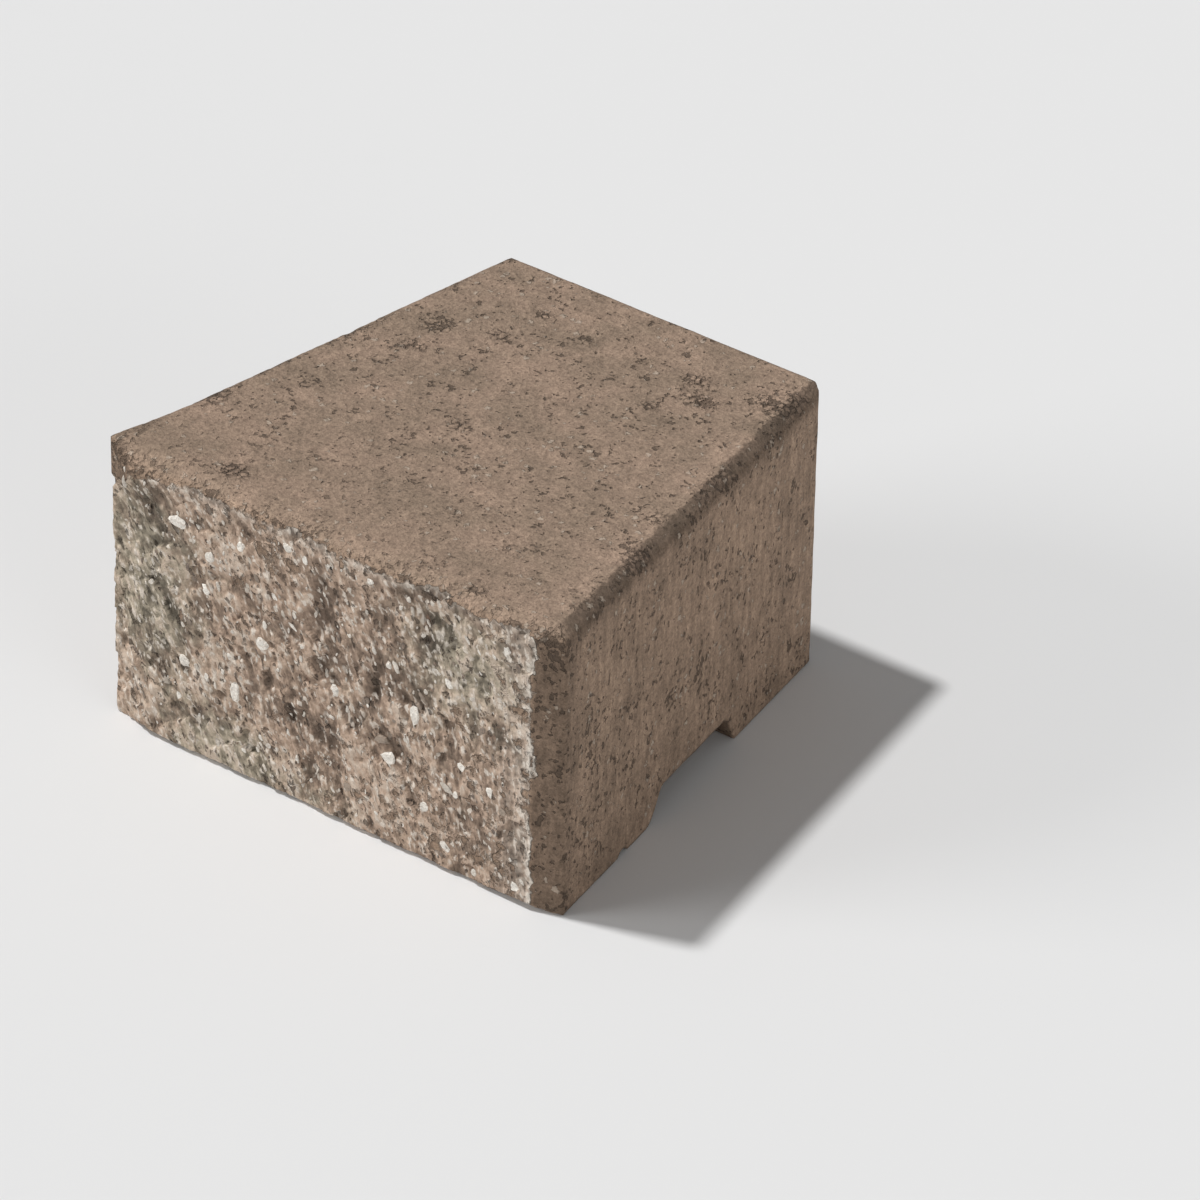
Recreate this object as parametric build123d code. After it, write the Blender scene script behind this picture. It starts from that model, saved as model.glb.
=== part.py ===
from build123d import *
import os
import numpy as np

# A wall cap block of dry-cast concrete, moulded and then split along its front: one piece.
# Millimetres. +X runs along the width, +Y from the split front to the back, +Z up.
# The origin is on the ground, under the centre of the block's box.

# Overall size
width = 266.0  # at the widest, just behind the splitting notches
depth = 249.0
height = 152.0
side_taper = 38.0  # how far each side draws in by the back

# Underside, in the order its forms follow each other from the front to the back
toe_length = 57.0
nick_length = 9.0
nick_depth = 2.5
lug_length = 22.0
lug_slope_run = 10.0  # the lug's rear wall leans back by this as it rises
channel_depth = 16.0
channel_ceiling_length = 63.0
foot_slope_run = 8.0  # the rear foot's front wall leans back by this as it drops
lug_corner_radius = 8.0
channel_corner_radius = 3.0

# Moulded edges
arris_radius = 8.5  # round top edge, along both sides and over the front
notch_width = 16.0  # splitting notch down each front corner, along the front
notch_depth = 6.0  # and back along the side

# Split face: how far it lies behind the front plane, and its broad waves
split_setback = 2.6
swell_height = 0.8
swell_length = 118.0
rib_height = 0.8
rib_length = 29.0
slant_height = 0.7
slant_length = 43.0
slant_angle = 28.0  # degrees from the width to the way that the slanting waves follow
runout_depth = 5.0  # the split runs off through the notch at the left end
runout_length = 30.0

# Drawing of the split surface
split_point_pitch = 6.0
split_overrun = 12.0  # the cutting surface reaches this far past the block's outline
split_fit_tolerance = 0.05


def side_section():
    """Section of the block along its depth: toe, nick, lug, channel and rear foot."""
    lug_start = toe_length + nick_length
    lug_end = lug_start + lug_length
    ceiling_start = lug_end + lug_slope_run
    ceiling_end = ceiling_start + channel_ceiling_length
    foot_start = ceiling_end + foot_slope_run
    outline = [
        (0, 0),
        (toe_length, 0),
        (toe_length + nick_depth, nick_depth),
        (lug_start - nick_depth, nick_depth),
        (lug_start, 0),
        (lug_end, 0),
        (ceiling_start, channel_depth),
        (ceiling_end, channel_depth),
        (foot_start, 0),
        (depth, 0),
        (depth, height),
        (0, height),
    ]
    section = make_face(Polyline(outline, close=True))
    lug_corner = section.vertices().sort_by_distance((lug_end, 0))[0]
    section = fillet(lug_corner, lug_corner_radius)
    ceiling_ends = [(ceiling_start, channel_depth), (ceiling_end, channel_depth)]
    channel_corners = [section.vertices().sort_by_distance(end)[0] for end in ceiling_ends]
    return fillet(channel_corners, channel_corner_radius)


def plan():
    """Plan of the block: sides that draw in, and a splitting notch at each front corner."""
    half_width = width / 2
    right_half = [
        (half_width - notch_width, 0),
        (half_width, notch_depth),
        (half_width - side_taper, depth),
    ]
    left_half = [(-x, y) for x, y in reversed(right_half)]
    return make_face(Polyline(right_half + left_half, close=True))


def moulded_block():
    """The block as it leaves the mould, before its front is split off."""
    left_end = Plane(origin=(-width / 2, 0, 0), x_dir=(0, 1, 0), z_dir=(1, 0, 0))
    bar = extrude(left_end * side_section(), width)
    column = extrude(plan(), height)
    block = bar & column
    top_edges = block.faces().sort_by(Axis.Z)[-1].edges()
    side_and_front_edges = top_edges.sort_by(Axis.Y)[:-1]
    return fillet(side_and_front_edges, arris_radius)


def split_depth(x, z):
    """Depth of the split face behind the front plane: a setback, three waves and the run-out."""
    slant = np.radians(slant_angle)
    along_slant = x * np.cos(slant) + z * np.sin(slant)
    swell = swell_height * np.sin(2 * np.pi * z / swell_length)
    ribs = rib_height * np.cos(2 * np.pi * x / rib_length)
    slants = slant_height * np.sin(2 * np.pi * along_slant / slant_length)
    from_left_end = x + width / 2
    runout = runout_depth * np.exp(-((max(from_left_end, 0) / runout_length) ** 2))
    return split_setback + swell + ribs + slants + runout


def stock_behind_split():
    """Everything behind the split surface, as a solid to cut the moulded block with."""
    reach = width / 2 + split_overrun
    top = height + split_overrun
    columns = int(np.ceil(2 * reach / split_point_pitch)) + 1
    rows = int(np.ceil((top + split_overrun) / split_point_pitch)) + 1
    across = np.linspace(-reach, reach, columns)
    up = np.linspace(-split_overrun, top, rows)
    points = [[Vector(x, split_depth(x, z), z) for z in up] for x in across]
    surface = Face.make_surface_from_array_of_points(points, tol=split_fit_tolerance)
    return Solid.extrude(surface, Vector(0, depth + split_overrun, 0))


def cap_block():
    """The split block, standing on its toe, lug and foot over the origin."""
    block = moulded_block() & stock_behind_split()
    box = block.bounding_box()
    block = Pos(-box.center().X, -box.center().Y, -box.min.Z) * block
    block.label = "cap_block"
    return block


os.makedirs("parts", exist_ok=True)
export_step(cap_block(), "parts/cap_block.step")
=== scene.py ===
"""A wall cap block of dry-cast concrete, moulded on five sides and split along its front.

Metres. +X runs along the width, +Y from the split front to the back, +Z up.
"""

import logging
import math
from collections.abc import Callable
from dataclasses import dataclass
from enum import Enum
from functools import partial, reduce
from typing import NamedTuple

import bpy
import numpy as np
from mathutils import Matrix, Vector


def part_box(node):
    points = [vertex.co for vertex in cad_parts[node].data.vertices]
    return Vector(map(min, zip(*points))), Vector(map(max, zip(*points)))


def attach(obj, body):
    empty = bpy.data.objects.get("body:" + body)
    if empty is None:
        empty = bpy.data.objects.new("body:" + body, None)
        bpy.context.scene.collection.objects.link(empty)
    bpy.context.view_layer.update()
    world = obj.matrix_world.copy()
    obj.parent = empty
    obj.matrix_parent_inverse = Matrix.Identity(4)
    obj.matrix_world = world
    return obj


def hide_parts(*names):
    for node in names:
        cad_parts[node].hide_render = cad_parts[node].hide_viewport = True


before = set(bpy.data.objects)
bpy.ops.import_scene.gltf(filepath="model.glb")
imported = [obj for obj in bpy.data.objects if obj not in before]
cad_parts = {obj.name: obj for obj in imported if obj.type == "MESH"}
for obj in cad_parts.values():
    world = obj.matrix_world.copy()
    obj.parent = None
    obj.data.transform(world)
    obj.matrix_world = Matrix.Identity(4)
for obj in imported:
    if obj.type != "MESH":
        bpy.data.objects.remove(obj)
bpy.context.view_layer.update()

MM = 0.001
NODE = "cap_block"
BODY = "root"

log = logging.getLogger("cap_block")


def smooth_step(low: float, high: float, value: np.ndarray) -> np.ndarray:
    """Goes from 0 at low to 1 at high along the curve 3t^2 - 2t^3.

    Args:
        low: value that gives 0.
        high: value that gives 1.
        value: values to judge.

    Returns:
        Shares from 0 to 1, one for each value.
    """
    share = np.clip((value - low) / (high - low), 0.0, 1.0)
    return share * share * (3.0 - 2.0 * share)


def bell(distance: np.ndarray, reach: float | np.ndarray) -> np.ndarray:
    """A soft hump: 1 at no distance, and e to the minus one at the reach."""
    return np.exp(-((distance / reach) ** 2))


def in_space(x: np.ndarray, y: np.ndarray | float, z: np.ndarray) -> np.ndarray:
    """Stacks coordinates into rows of x, y and z, with y spread over all rows."""
    return np.stack([x, np.broadcast_to(y, x.shape), z], axis=1)


def shuffled(order: np.ndarray, cells: np.ndarray, axes: tuple[int, ...]) -> np.ndarray:
    """Gives each lattice cell a table index that looks random.

    The cell's count along an axis is added to the index, and the sum is looked up in the shuffled
    order. This is done for one axis after another.

    Args:
        order: the table's indices in shuffled order.
        cells: rows of whole numbers.
        axes: the axes in their order.

    Returns:
        One index for each cell.
    """
    index = np.zeros(len(cells), dtype=np.int64)
    for axis in axes:
        index = order[(index + cells[:, axis]) % len(order)]
    return index


class GradientNoise:
    """A smooth random field: every lattice corner has a random slope, and the slopes blend between."""

    table_size = 256
    loudness = 1.6  # brings the blended slopes to about -1 to 1
    crest_share = 0.55  # strength of a layer of crests against the last
    crest_shift = 7.3  # from one layer of crests to the next, in lattice units

    def __init__(self, seed: int) -> None:
        """Draws the slopes.

        Args:
            seed: the same number gives the same field.
        """
        draws = np.random.default_rng(seed)
        self.order = draws.permutation(self.table_size)
        slopes = draws.normal(size=(self.table_size, 3))
        self.slopes = slopes / np.linalg.norm(slopes, axis=1, keepdims=True)

    def value(self, points: np.ndarray) -> np.ndarray:
        """The field at each point, in lattice units.

        Each of the cell's eight corners gives its slope times the way from it to the point, and the
        eight are mixed by the curve 6t^5 - 15t^4 + 10t^3 along each axis.

        Args:
            points: rows of x, y and z, one lattice cell to a unit.

        Returns:
            Values of about -1 to 1.
        """
        cell = np.floor(points).astype(np.int64)
        inside = points - cell
        fade = inside**3 * (inside * (inside * 6.0 - 15.0) + 10.0)
        total = np.zeros(len(points))
        for corner in range(8):
            step = np.array([corner & 1, corner >> 1 & 1, corner >> 2 & 1])
            slopes = self.slopes[shuffled(self.order, cell + step, (2, 1, 0))]
            slope = np.sum(slopes * (inside - step), axis=1)
            total += slope * np.prod(np.where(step == 1, fade, 1.0 - fade), axis=1)
        return total * self.loudness

    def layered(self, points: np.ndarray, layers: int) -> np.ndarray:
        """Adds layers of the field, each twice as fine and half as strong as the last.

        Args:
            points: rows of x, y and z, one lattice cell to a unit.
            layers: how many.

        Returns:
            Values of about -1 to 1.
        """
        shares = [0.5**layer for layer in range(layers)]
        total = sum(share * self.value(points / share) for share in shares)
        return total / sum(shares)

    def ridged(self, points: np.ndarray, layers: int) -> np.ndarray:
        """Layers of sharp crests: each is 1 where the field crosses zero and falls to -1 away from it.

        Args:
            points: rows of x, y and z, one lattice cell to a unit.
            layers: how many, each twice as fine as the last.

        Returns:
            Values of about -1 to 1.
        """
        shares = [self.crest_share**layer for layer in range(layers)]
        fields = [self.value(points * 2.0**layer + self.crest_shift * layer) for layer in range(layers)]
        crests = sum(share * (1.0 - 2.0 * np.abs(field)) for share, field in zip(shares, fields))
        return crests / sum(shares)


class Cells(NamedTuple):
    """The nearest seed of each point: its distance, the way to it and its three random numbers."""

    distance: np.ndarray
    offset: np.ndarray
    draws: np.ndarray


class CellNoise:
    """Seeds strewn through space, one in every unit cell."""

    table_size = 512
    beyond = 9.0  # further than any seed, in cells

    def __init__(self, seed: int) -> None:
        """Draws the seeds.

        Args:
            seed: the same number gives the same seeds.
        """
        draws = np.random.default_rng(seed)
        self.order = draws.permutation(self.table_size)
        self.table = draws.random((self.table_size, 6))

    def nearest(self, points: np.ndarray) -> Cells:
        """Finds the nearest seed among the 27 cells round each point.

        Args:
            points: rows of x, y and z, one cell to a unit.

        Returns:
            Distance, offset and random numbers of each point's nearest seed.
        """
        home = np.floor(points).astype(np.int64)
        distance = np.full(len(points), self.beyond)
        offset = np.zeros_like(points)
        draws = np.zeros((len(points), 3))
        for neighbour in range(27):
            step = np.array([neighbour % 3, neighbour // 3 % 3, neighbour // 9]) - 1
            cell = home + step
            index = shuffled(self.order, cell, (0, 1, 2))
            way = points - cell - self.table[index, :3]
            length = np.linalg.norm(way, axis=1)
            nearer = length < distance
            distance = np.where(nearer, length, distance)
            offset[nearer] = way[nearer]
            draws[nearer] = self.table[index[nearer], 3:]
        return Cells(distance, offset, draws)


@dataclass(frozen=True)
class Spot:
    """A soft oval place on a face: its middle, its half sizes and its strength."""

    across: float
    along: float
    half_breadth: float
    half_length: float
    strength: float = 1.0

    def cover(self, across: np.ndarray, along: np.ndarray) -> np.ndarray:
        """Strength times a bell of the distance from the middle, counted in half sizes.

        Args:
            across: places along the spot's breadth.
            along: places along its length.

        Returns:
            Shares from 0 up to the strength.
        """
        breadths = (across - self.across) / self.half_breadth
        lengths = (along - self.along) / self.half_length
        return self.strength * np.exp(-(breadths**2) - lengths**2)


@dataclass(frozen=True)
class Chip:
    """A listed stone: its place on the split face, its sizes and its lean in degrees.

    A leaning stone's top is further to the left than its foot.
    """

    across: float
    up: float
    breadth: float
    length: float
    lean: float = 0.0
    bed_reach = 0.45  # of its length, over which the face round it is evened out

    def bed(self, x: np.ndarray, z: np.ndarray) -> np.ndarray:
        """Share by which the face is evened out round the stone: a bell as wide as the stone."""
        return bell(np.hypot(x - self.across, z - self.up), self.bed_reach * self.length)


PALE_CHIPS = (
    Chip(-0.0895, 0.0295, 0.0040, 0.0055),
    Chip(-0.0550, 0.0455, 0.0060, 0.0135, -4.0),
    Chip(-0.0380, 0.0785, 0.0065, 0.0075),
    Chip(-0.0885, 0.1245, 0.0050, 0.0100, 84.0),
    Chip(-0.0690, 0.1135, 0.0060, 0.0070),
    Chip(-0.0505, 0.1265, 0.0045, 0.0060),
    Chip(-0.0230, 0.1365, 0.0065, 0.0075, 30.0),
    Chip(-0.0125, 0.1345, 0.0035, 0.0055, 15.0),
    Chip(-0.0710, 0.0940, 0.0050, 0.0055, 30.0),
    Chip(-0.0850, 0.0500, 0.0075, 0.0075),
    Chip(-0.0350, 0.0240, 0.0040, 0.0050),
    Chip(-0.0370, 0.0890, 0.0030, 0.0055),
    Chip(-0.0310, 0.1075, 0.0015, 0.0090, 47.0),
    Chip(-0.0205, 0.0955, 0.0018, 0.0070, 58.0),
    Chip(0.0365, 0.0475, 0.0070, 0.0075),
    Chip(0.0570, 0.0300, 0.0060, 0.0075),
    Chip(0.0255, 0.1385, 0.0040, 0.0040),
    Chip(0.1030, 0.1330, 0.0035, 0.0095, 8.0),
    Chip(0.0700, 0.1020, 0.0035, 0.0065, 28.0),
    Chip(0.0515, 0.0765, 0.0050, 0.0080),
    Chip(0.0685, 0.0140, 0.0035, 0.0080, 46.0),
    Chip(0.0750, 0.0440, 0.0035, 0.0035),
    Chip(0.0945, 0.0545, 0.0040, 0.0050),
    Chip(0.1090, 0.0080, 0.0045, 0.0050),
    Chip(0.0360, 0.0975, 0.0040, 0.0045),
    Chip(0.0785, 0.0610, 0.0035, 0.0045, 20.0),
    Chip(0.0040, 0.0700, 0.0040, 0.0050, 12.0),
)
DARK_CHIPS = (
    Chip(0.0315, 0.0560, 0.0085, 0.0045, 10.0),
    Chip(0.0120, 0.0220, 0.0060, 0.0060),
    Chip(0.1020, 0.0465, 0.0055, 0.0060),
)

# Split face, across from the middle and up from the ground
HOLLOWS = (
    Spot(-0.0465, 0.0650, 0.0030, 0.0035, 2.2),
    Spot(-0.0360, 0.0595, 0.0025, 0.0040, 1.8),
    Spot(0.0690, 0.0805, 0.0040, 0.0035, 2.8),
    Spot(-0.0050, 0.0425, 0.0030, 0.0045, 1.6),
    Spot(-0.0045, 0.1080, 0.0050, 0.0150, 2.0),
    Spot(-0.0470, 0.0160, 0.0035, 0.0035, 2.0),
    Spot(0.0280, 0.0805, 0.0025, 0.0070, 1.6),
    Spot(0.0610, 0.1330, 0.0080, 0.0040, 1.8),
    Spot(-0.0605, 0.1285, 0.0035, 0.0040, 1.4),
    Spot(-0.1090, 0.1180, 0.0120, 0.0160, 1.2),
    Spot(0.1190, 0.1060, 0.0140, 0.0220, -2.2),
    Spot(0.1200, 0.1460, 0.0120, 0.0090, 1.6),
    Spot(-0.1090, 0.1440, 0.0200, 0.0110, -2.0),
)
GREY_PATCHES = (
    Spot(0.0800, 0.1150, 0.0340, 0.0300, 1.0),
    Spot(-0.1100, 0.0850, 0.0340, 0.0560, 1.0),
    Spot(-0.0600, 0.0100, 0.0340, 0.0200, 1.0),
    Spot(-0.0100, 0.0060, 0.0260, 0.0100, 0.4),
)
# Top face, across from the middle and back from the front plane
CRUMBLED_SPOTS = (
    Spot(-0.0775, 0.1765, 0.0080, 0.0080),
    Spot(-0.0740, 0.1560, 0.0090, 0.0050),
    Spot(-0.0130, 0.1135, 0.0070, 0.0050),
    Spot(-0.0680, 0.0185, 0.0090, 0.0060, 1.4),
    Spot(-0.0150, 0.2095, 0.0050, 0.0040),
    Spot(0.0465, 0.2135, 0.0090, 0.0060),
    Spot(0.0590, 0.2005, 0.0100, 0.0050, 1.3),
    Spot(-0.0490, 0.1880, 0.0080, 0.0050),
    Spot(-0.0440, 0.2160, 0.0060, 0.0040),
    Spot(0.0440, 0.1825, 0.0050, 0.0040),
    Spot(0.1050, 0.1065, 0.0050, 0.0060),
    Spot(0.0800, 0.0095, 0.0060, 0.0040),
    Spot(0.0160, 0.2115, 0.0050, 0.0030),
    Spot(-0.1175, 0.0630, 0.0080, 0.0090),
    Spot(-0.1095, 0.1445, 0.0080, 0.0140),
    Spot(0.0860, 0.2180, 0.0110, 0.0080),
)


class Tear(NamedTuple):
    """What the split surface gives at each place: its depth and how far its fine forms are hollowed."""

    depth: np.ndarray
    hollow: np.ndarray


@dataclass
class SplitSurface:
    """The torn front: depth behind the front plane as a function of the place on the face."""

    half_width: float  # from the middle to the side at the front
    height: float
    setback: float = 1.5 * MM
    least_depth: float = 0.15 * MM
    softness: float = 0.4 * MM  # over which the surface nears its least depth
    swell: float = 1.0 * MM
    swell_length: float = 0.090
    bend: float = 1.8 * MM
    bend_length: float = 0.0085
    facet_rise: float = 1.35 * MM
    facet_length: float = 0.017
    facet_tilt: float = 2.4
    facet_step: float = 0.9
    rib_rise: float = 1.35 * MM
    rib_breadth: float = 0.0105
    rib_length: float = 0.0380
    rib_slice: float = 0.5  # of the fibres' field, so that ribs and fibres differ
    fibre_rise: float = 0.95 * MM
    fibre_breadth: float = 0.0052
    fibre_length: float = 0.0100
    lean_at_left: float = math.radians(24.0)
    lean_at_right: float = math.radians(7.0)
    stone_pitch: float = 0.0072
    stone_reach: float = 0.46
    stone_rise: float = 1.0 * MM
    standing_share: float = 0.34
    socket_depth: float = 1.7 * MM
    socket_share: float = 0.08
    grit_rise: float = 0.80 * MM
    grit_length: float = 0.0030
    foot_depth: float = 4.4 * MM  # how far back the worn foot of the face starts in the middle
    foot_end_depth: float = 1.6 * MM  # and how much further at both ends
    foot_end_place: tuple[float, float] = (0.080, 0.118)  # from the middle: where that starts, is whole
    foot_slope: float = 2.1  # how fast it comes forward as it rises
    runout_depth: float = 6.8 * MM
    runout_length: float = 0.020
    runout_clear: tuple[float, float] = (0.010, 0.030)  # below the top: where the run-out starts, is whole
    calm_strip: tuple[float, float] = (0.020, 0.007)  # from the right side: where fine forms fade, are least
    calm_share: float = 0.75  # of the fine forms that is lost there
    brow_rise: float = 1.0 * MM
    brow_reach: float = 0.018
    heel_rise: float = 1.7 * MM  # how far the lower right stands forward
    heel_across: tuple[float, float] = (-0.2, 1.0)  # shares of the half width: where it starts, is whole
    heel_below: tuple[float, float] = (0.2, 1.0)  # and shares of the height below the top

    def __post_init__(self) -> None:
        """Draws the random fields."""
        self.waves = GradientNoise(11)
        self.fibres = GradientNoise(23)
        self.facets = CellNoise(31)
        self.stones = CellNoise(47)

    def grain(self, x: np.ndarray, z: np.ndarray) -> np.ndarray:
        """Places along the grain, which runs up and to the left, and leans more at the left end.

        The place across the grain is x plus the height times the tangent of the lean there. The place
        along it is the height divided by the cosine.

        Args:
            x: places across.
            z: heights.

        Returns:
            Rows of the place across the grain, nothing, and the place along it.
        """
        share = np.clip(0.5 + 0.5 * x / self.half_width, 0.0, 1.0)
        lean = self.lean_at_left + (self.lean_at_right - self.lean_at_left) * share
        return in_space(x + z * np.tan(lean), 0.0, z / np.cos(lean))

    def broad_form(self, x: np.ndarray, z: np.ndarray) -> np.ndarray:
        """Setback, long swells, the run-out at the left end and the brow under the top edge.

        The run-out is a bell of the distance from the left end, and it is held back near the top.
        The brow brings the face forward over a bell of the distance from the top edge, and the lower
        right comes forward with the product of its two shares.

        Args:
            x: places across.
            z: heights.

        Returns:
            Depth behind the front plane.
        """
        place = in_space(x, 0.0, z)
        below_top = self.height - z
        swells = self.swell * self.waves.layered(place / self.swell_length, 2)
        runout = self.runout_depth * bell(x + self.half_width, self.runout_length)
        runout *= smooth_step(*self.runout_clear, below_top)
        brow = self.brow_rise * bell(below_top, self.brow_reach)
        right_share = smooth_step(*self.heel_across, x / self.half_width)
        low_share = smooth_step(*self.heel_below, below_top / self.height)
        heel = self.heel_rise * right_share * low_share
        return self.setback + swells + runout - brow - heel

    def fine_form(self, x: np.ndarray, z: np.ndarray) -> np.ndarray:
        """Facets, leaning ribs and fibres, stones, empty sockets, grit and the placed hollows.

        A facet is a cell whose random tilt is taken along the way from its seed. Ribs and fibres are
        crests that run down and to the right. A stone or socket is a dome, 1 minus the square of the
        distance from its seed, with its random number choosing which. All of it is evened out round the
        chosen chips.

        Args:
            x: places across.
            z: heights.

        Returns:
            Depth behind the broad form, more in a hollow.
        """
        place = in_space(x, 0.0, z)
        bending = [noise.value(place / self.bend_length) for noise in (self.waves, self.fibres)]
        bent = place + self.bend * in_space(bending[0], 0.0, bending[1])
        grain = self.grain(bent[:, 0], bent[:, 2])
        facet = self.facets.nearest(bent / self.facet_length)
        tilts = np.sum(facet.offset * (facet.draws - 0.5), axis=1)
        steps = facet.draws[:, 0] - 0.5
        depth = self.facet_rise * (self.facet_tilt * tilts + self.facet_step * steps)
        ribs = grain / (self.rib_breadth, 1.0, self.rib_length)
        depth -= self.rib_rise * self.fibres.value(ribs + (0.0, self.rib_slice, 0.0))
        fibres = grain / (self.fibre_breadth, 1.0, self.fibre_length)
        depth -= self.fibre_rise * self.fibres.ridged(fibres, 2)
        stone = self.stones.nearest(bent / self.stone_pitch)
        dome = np.clip(1.0 - (stone.distance / self.stone_reach) ** 2, 0.0, 1.0)
        standing = stone.draws[:, 1]
        depth -= self.stone_rise * dome * (standing > 1.0 - self.standing_share)
        depth += self.socket_depth * dome * (standing < self.socket_share)
        depth += self.grit_rise * self.waves.layered(place / self.grit_length, 2)
        beds = sum(chip.bed(x, z) for chip in PALE_CHIPS + DARK_CHIPS)
        depth *= 1.0 - np.clip(beds, 0.0, 1.0)
        return depth + sum(spot.cover(x, z) for spot in HOLLOWS) * MM

    def foot(self, x: np.ndarray, z: np.ndarray) -> np.ndarray:
        """Depth of the worn foot: most on the ground and at both ends, and less as it rises."""
        at_ends = smooth_step(*self.foot_end_place, np.abs(x))
        return self.foot_depth + self.foot_end_depth * at_ends - self.foot_slope * z

    def tear(self, x: np.ndarray, z: np.ndarray) -> Tear:
        """The whole surface, which nears its least depth softly and never passes it.

        Args:
            x: places across.
            z: heights.

        Returns:
            Depth behind the front plane, and the fine forms alone.
        """
        calm = self.calm_share * smooth_step(*self.calm_strip, self.half_width - x)
        fine = self.fine_form(x, z) * (1.0 - calm)
        above_least = self.broad_form(x, z) + fine - self.least_depth
        depth = self.least_depth + self.softness * np.logaddexp(0.0, above_least / self.softness)
        return Tear(depth, fine)


@dataclass(frozen=True)
class Bend:
    """A soft bend of the underside, where its slope changes."""

    place: float
    slope: float
    reach: float

    def rise(self, y: np.ndarray) -> np.ndarray:
        """Nothing before the bend, slope times distance after it, and a parabola across it.

        Args:
            y: depths behind the front plane.

        Returns:
            How far the underside has risen at each.
        """
        along = y - self.place
        curve = (along + self.reach) ** 2 / (4.0 * self.reach)
        straight = np.where(along > self.reach, along, curve)
        return self.slope * np.where(along < -self.reach, 0.0, straight)


@dataclass(frozen=True)
class MouldedForm:
    """The block as it leaves the mould. Depths count back from the front plane."""

    width: float
    height: float
    depth: float = 0.249
    side_taper: float = 0.038
    notch_width: float = 0.016
    notch_depth: float = 0.006
    toe_length: float = 0.057
    nick_length: float = 0.009
    nick_depth: float = 0.0025
    lug_length: float = 0.022
    lug_slope_run: float = 0.010
    channel_depth: float = 0.016
    ceiling_length: float = 0.063
    foot_slope_run: float = 0.008
    lug_bend_reach: float = 0.0046
    ceiling_bend_reach: float = 0.0018
    sharp_bend_reach: float = 0.0003
    arris_radius: float = 0.0085
    corner_roll: float = 0.007  # how much rounder the top front edge is near its left end
    corner_roll_place: float = 0.024  # from the left side
    corner_roll_reach: float = 0.016
    corner_sharpness: float = 0.65  # share of its radius that the edge loses at the left side
    corner_sharp_reach: float = 0.009

    def underside_marks(self) -> np.ndarray:
        """Works out where the underside changes slope, from the toe to the rear foot.

        Returns:
            Eight depths.
        """
        toe, nick = self.toe_length, self.nick_depth
        lug_start = toe + self.nick_length
        lug_end = lug_start + self.lug_length
        ceiling_start = lug_end + self.lug_slope_run
        ceiling_end = ceiling_start + self.ceiling_length
        foot_start = ceiling_end + self.foot_slope_run
        nick_marks = [toe, toe + nick, lug_start - nick, lug_start]
        return np.array(nick_marks + [lug_end, ceiling_start, ceiling_end, foot_start])

    def underside(self, y: np.ndarray) -> np.ndarray:
        """Adds up the bends of the underside, each with its own change of slope.

        Args:
            y: depths behind the front plane.

        Returns:
            Heights of the underside.
        """
        lug_slope = self.channel_depth / self.lug_slope_run
        foot_slope = self.channel_depth / self.foot_slope_run
        slopes = [1.0, -1.0, -1.0, 1.0, lug_slope, -lug_slope, -foot_slope, foot_slope]
        sharp, lug, ceiling = self.sharp_bend_reach, self.lug_bend_reach, self.ceiling_bend_reach
        reaches = [sharp, sharp, sharp, sharp, lug, ceiling, ceiling, sharp]
        bends = map(Bend, self.underside_marks(), slopes, reaches)
        return np.clip(sum(bend.rise(y) for bend in bends), 0.0, self.channel_depth)

    def half_width(self, y: np.ndarray) -> np.ndarray:
        """Distance of the side from the middle: full as far as the notch, then drawing in evenly."""
        share = np.clip((y - self.notch_depth) / (self.depth - self.notch_depth), 0.0, 1.0)
        return self.width / 2.0 - self.side_taper * share

    def notch(self, x: np.ndarray) -> np.ndarray:
        """Depth of the splitting notch: nothing in the middle, and a straight slope at each end."""
        from_side = self.width / 2.0 - np.abs(x)
        return self.notch_depth * np.clip(1.0 - from_side / self.notch_width, 0.0, 1.0)

    def front_radius(self, x: np.ndarray) -> np.ndarray:
        """Radius of the top front edge: more by a bell near the left end, and less by one at its side.

        Args:
            x: places across.

        Returns:
            A radius for each.
        """
        from_left = x + self.width / 2.0
        roll = self.corner_roll * bell(from_left - self.corner_roll_place, self.corner_roll_reach)
        sharp = self.corner_sharpness * bell(from_left, self.corner_sharp_reach)
        return (self.arris_radius + roll) * (1.0 - sharp)

    def stations(self, pitch: float) -> np.ndarray:
        """Depths of the lattice's rows: every mark of the underside, with even steps between.

        Args:
            pitch: largest step.

        Returns:
            Depths from 0 to the back.
        """
        marks = [0.0, *self.underside_marks(), self.depth]
        spans = [
            np.linspace(start, end, max(1, math.ceil((end - start) / pitch)), endpoint=False)
            for start, end in zip(marks[:-1], marks[1:])
        ]
        return np.append(np.concatenate(spans), self.depth)


class Side(Enum):
    """Faces of the lattice box."""

    FRONT = 0
    RIGHT = 1
    TOP = 2
    BACK = 3
    LEFT = 4
    BOTTOM = 5

    @property
    def turned(self) -> bool:
        """True where the order of the corners is turned round."""
        return self in (Side.BACK, Side.LEFT, Side.BOTTOM)


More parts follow.
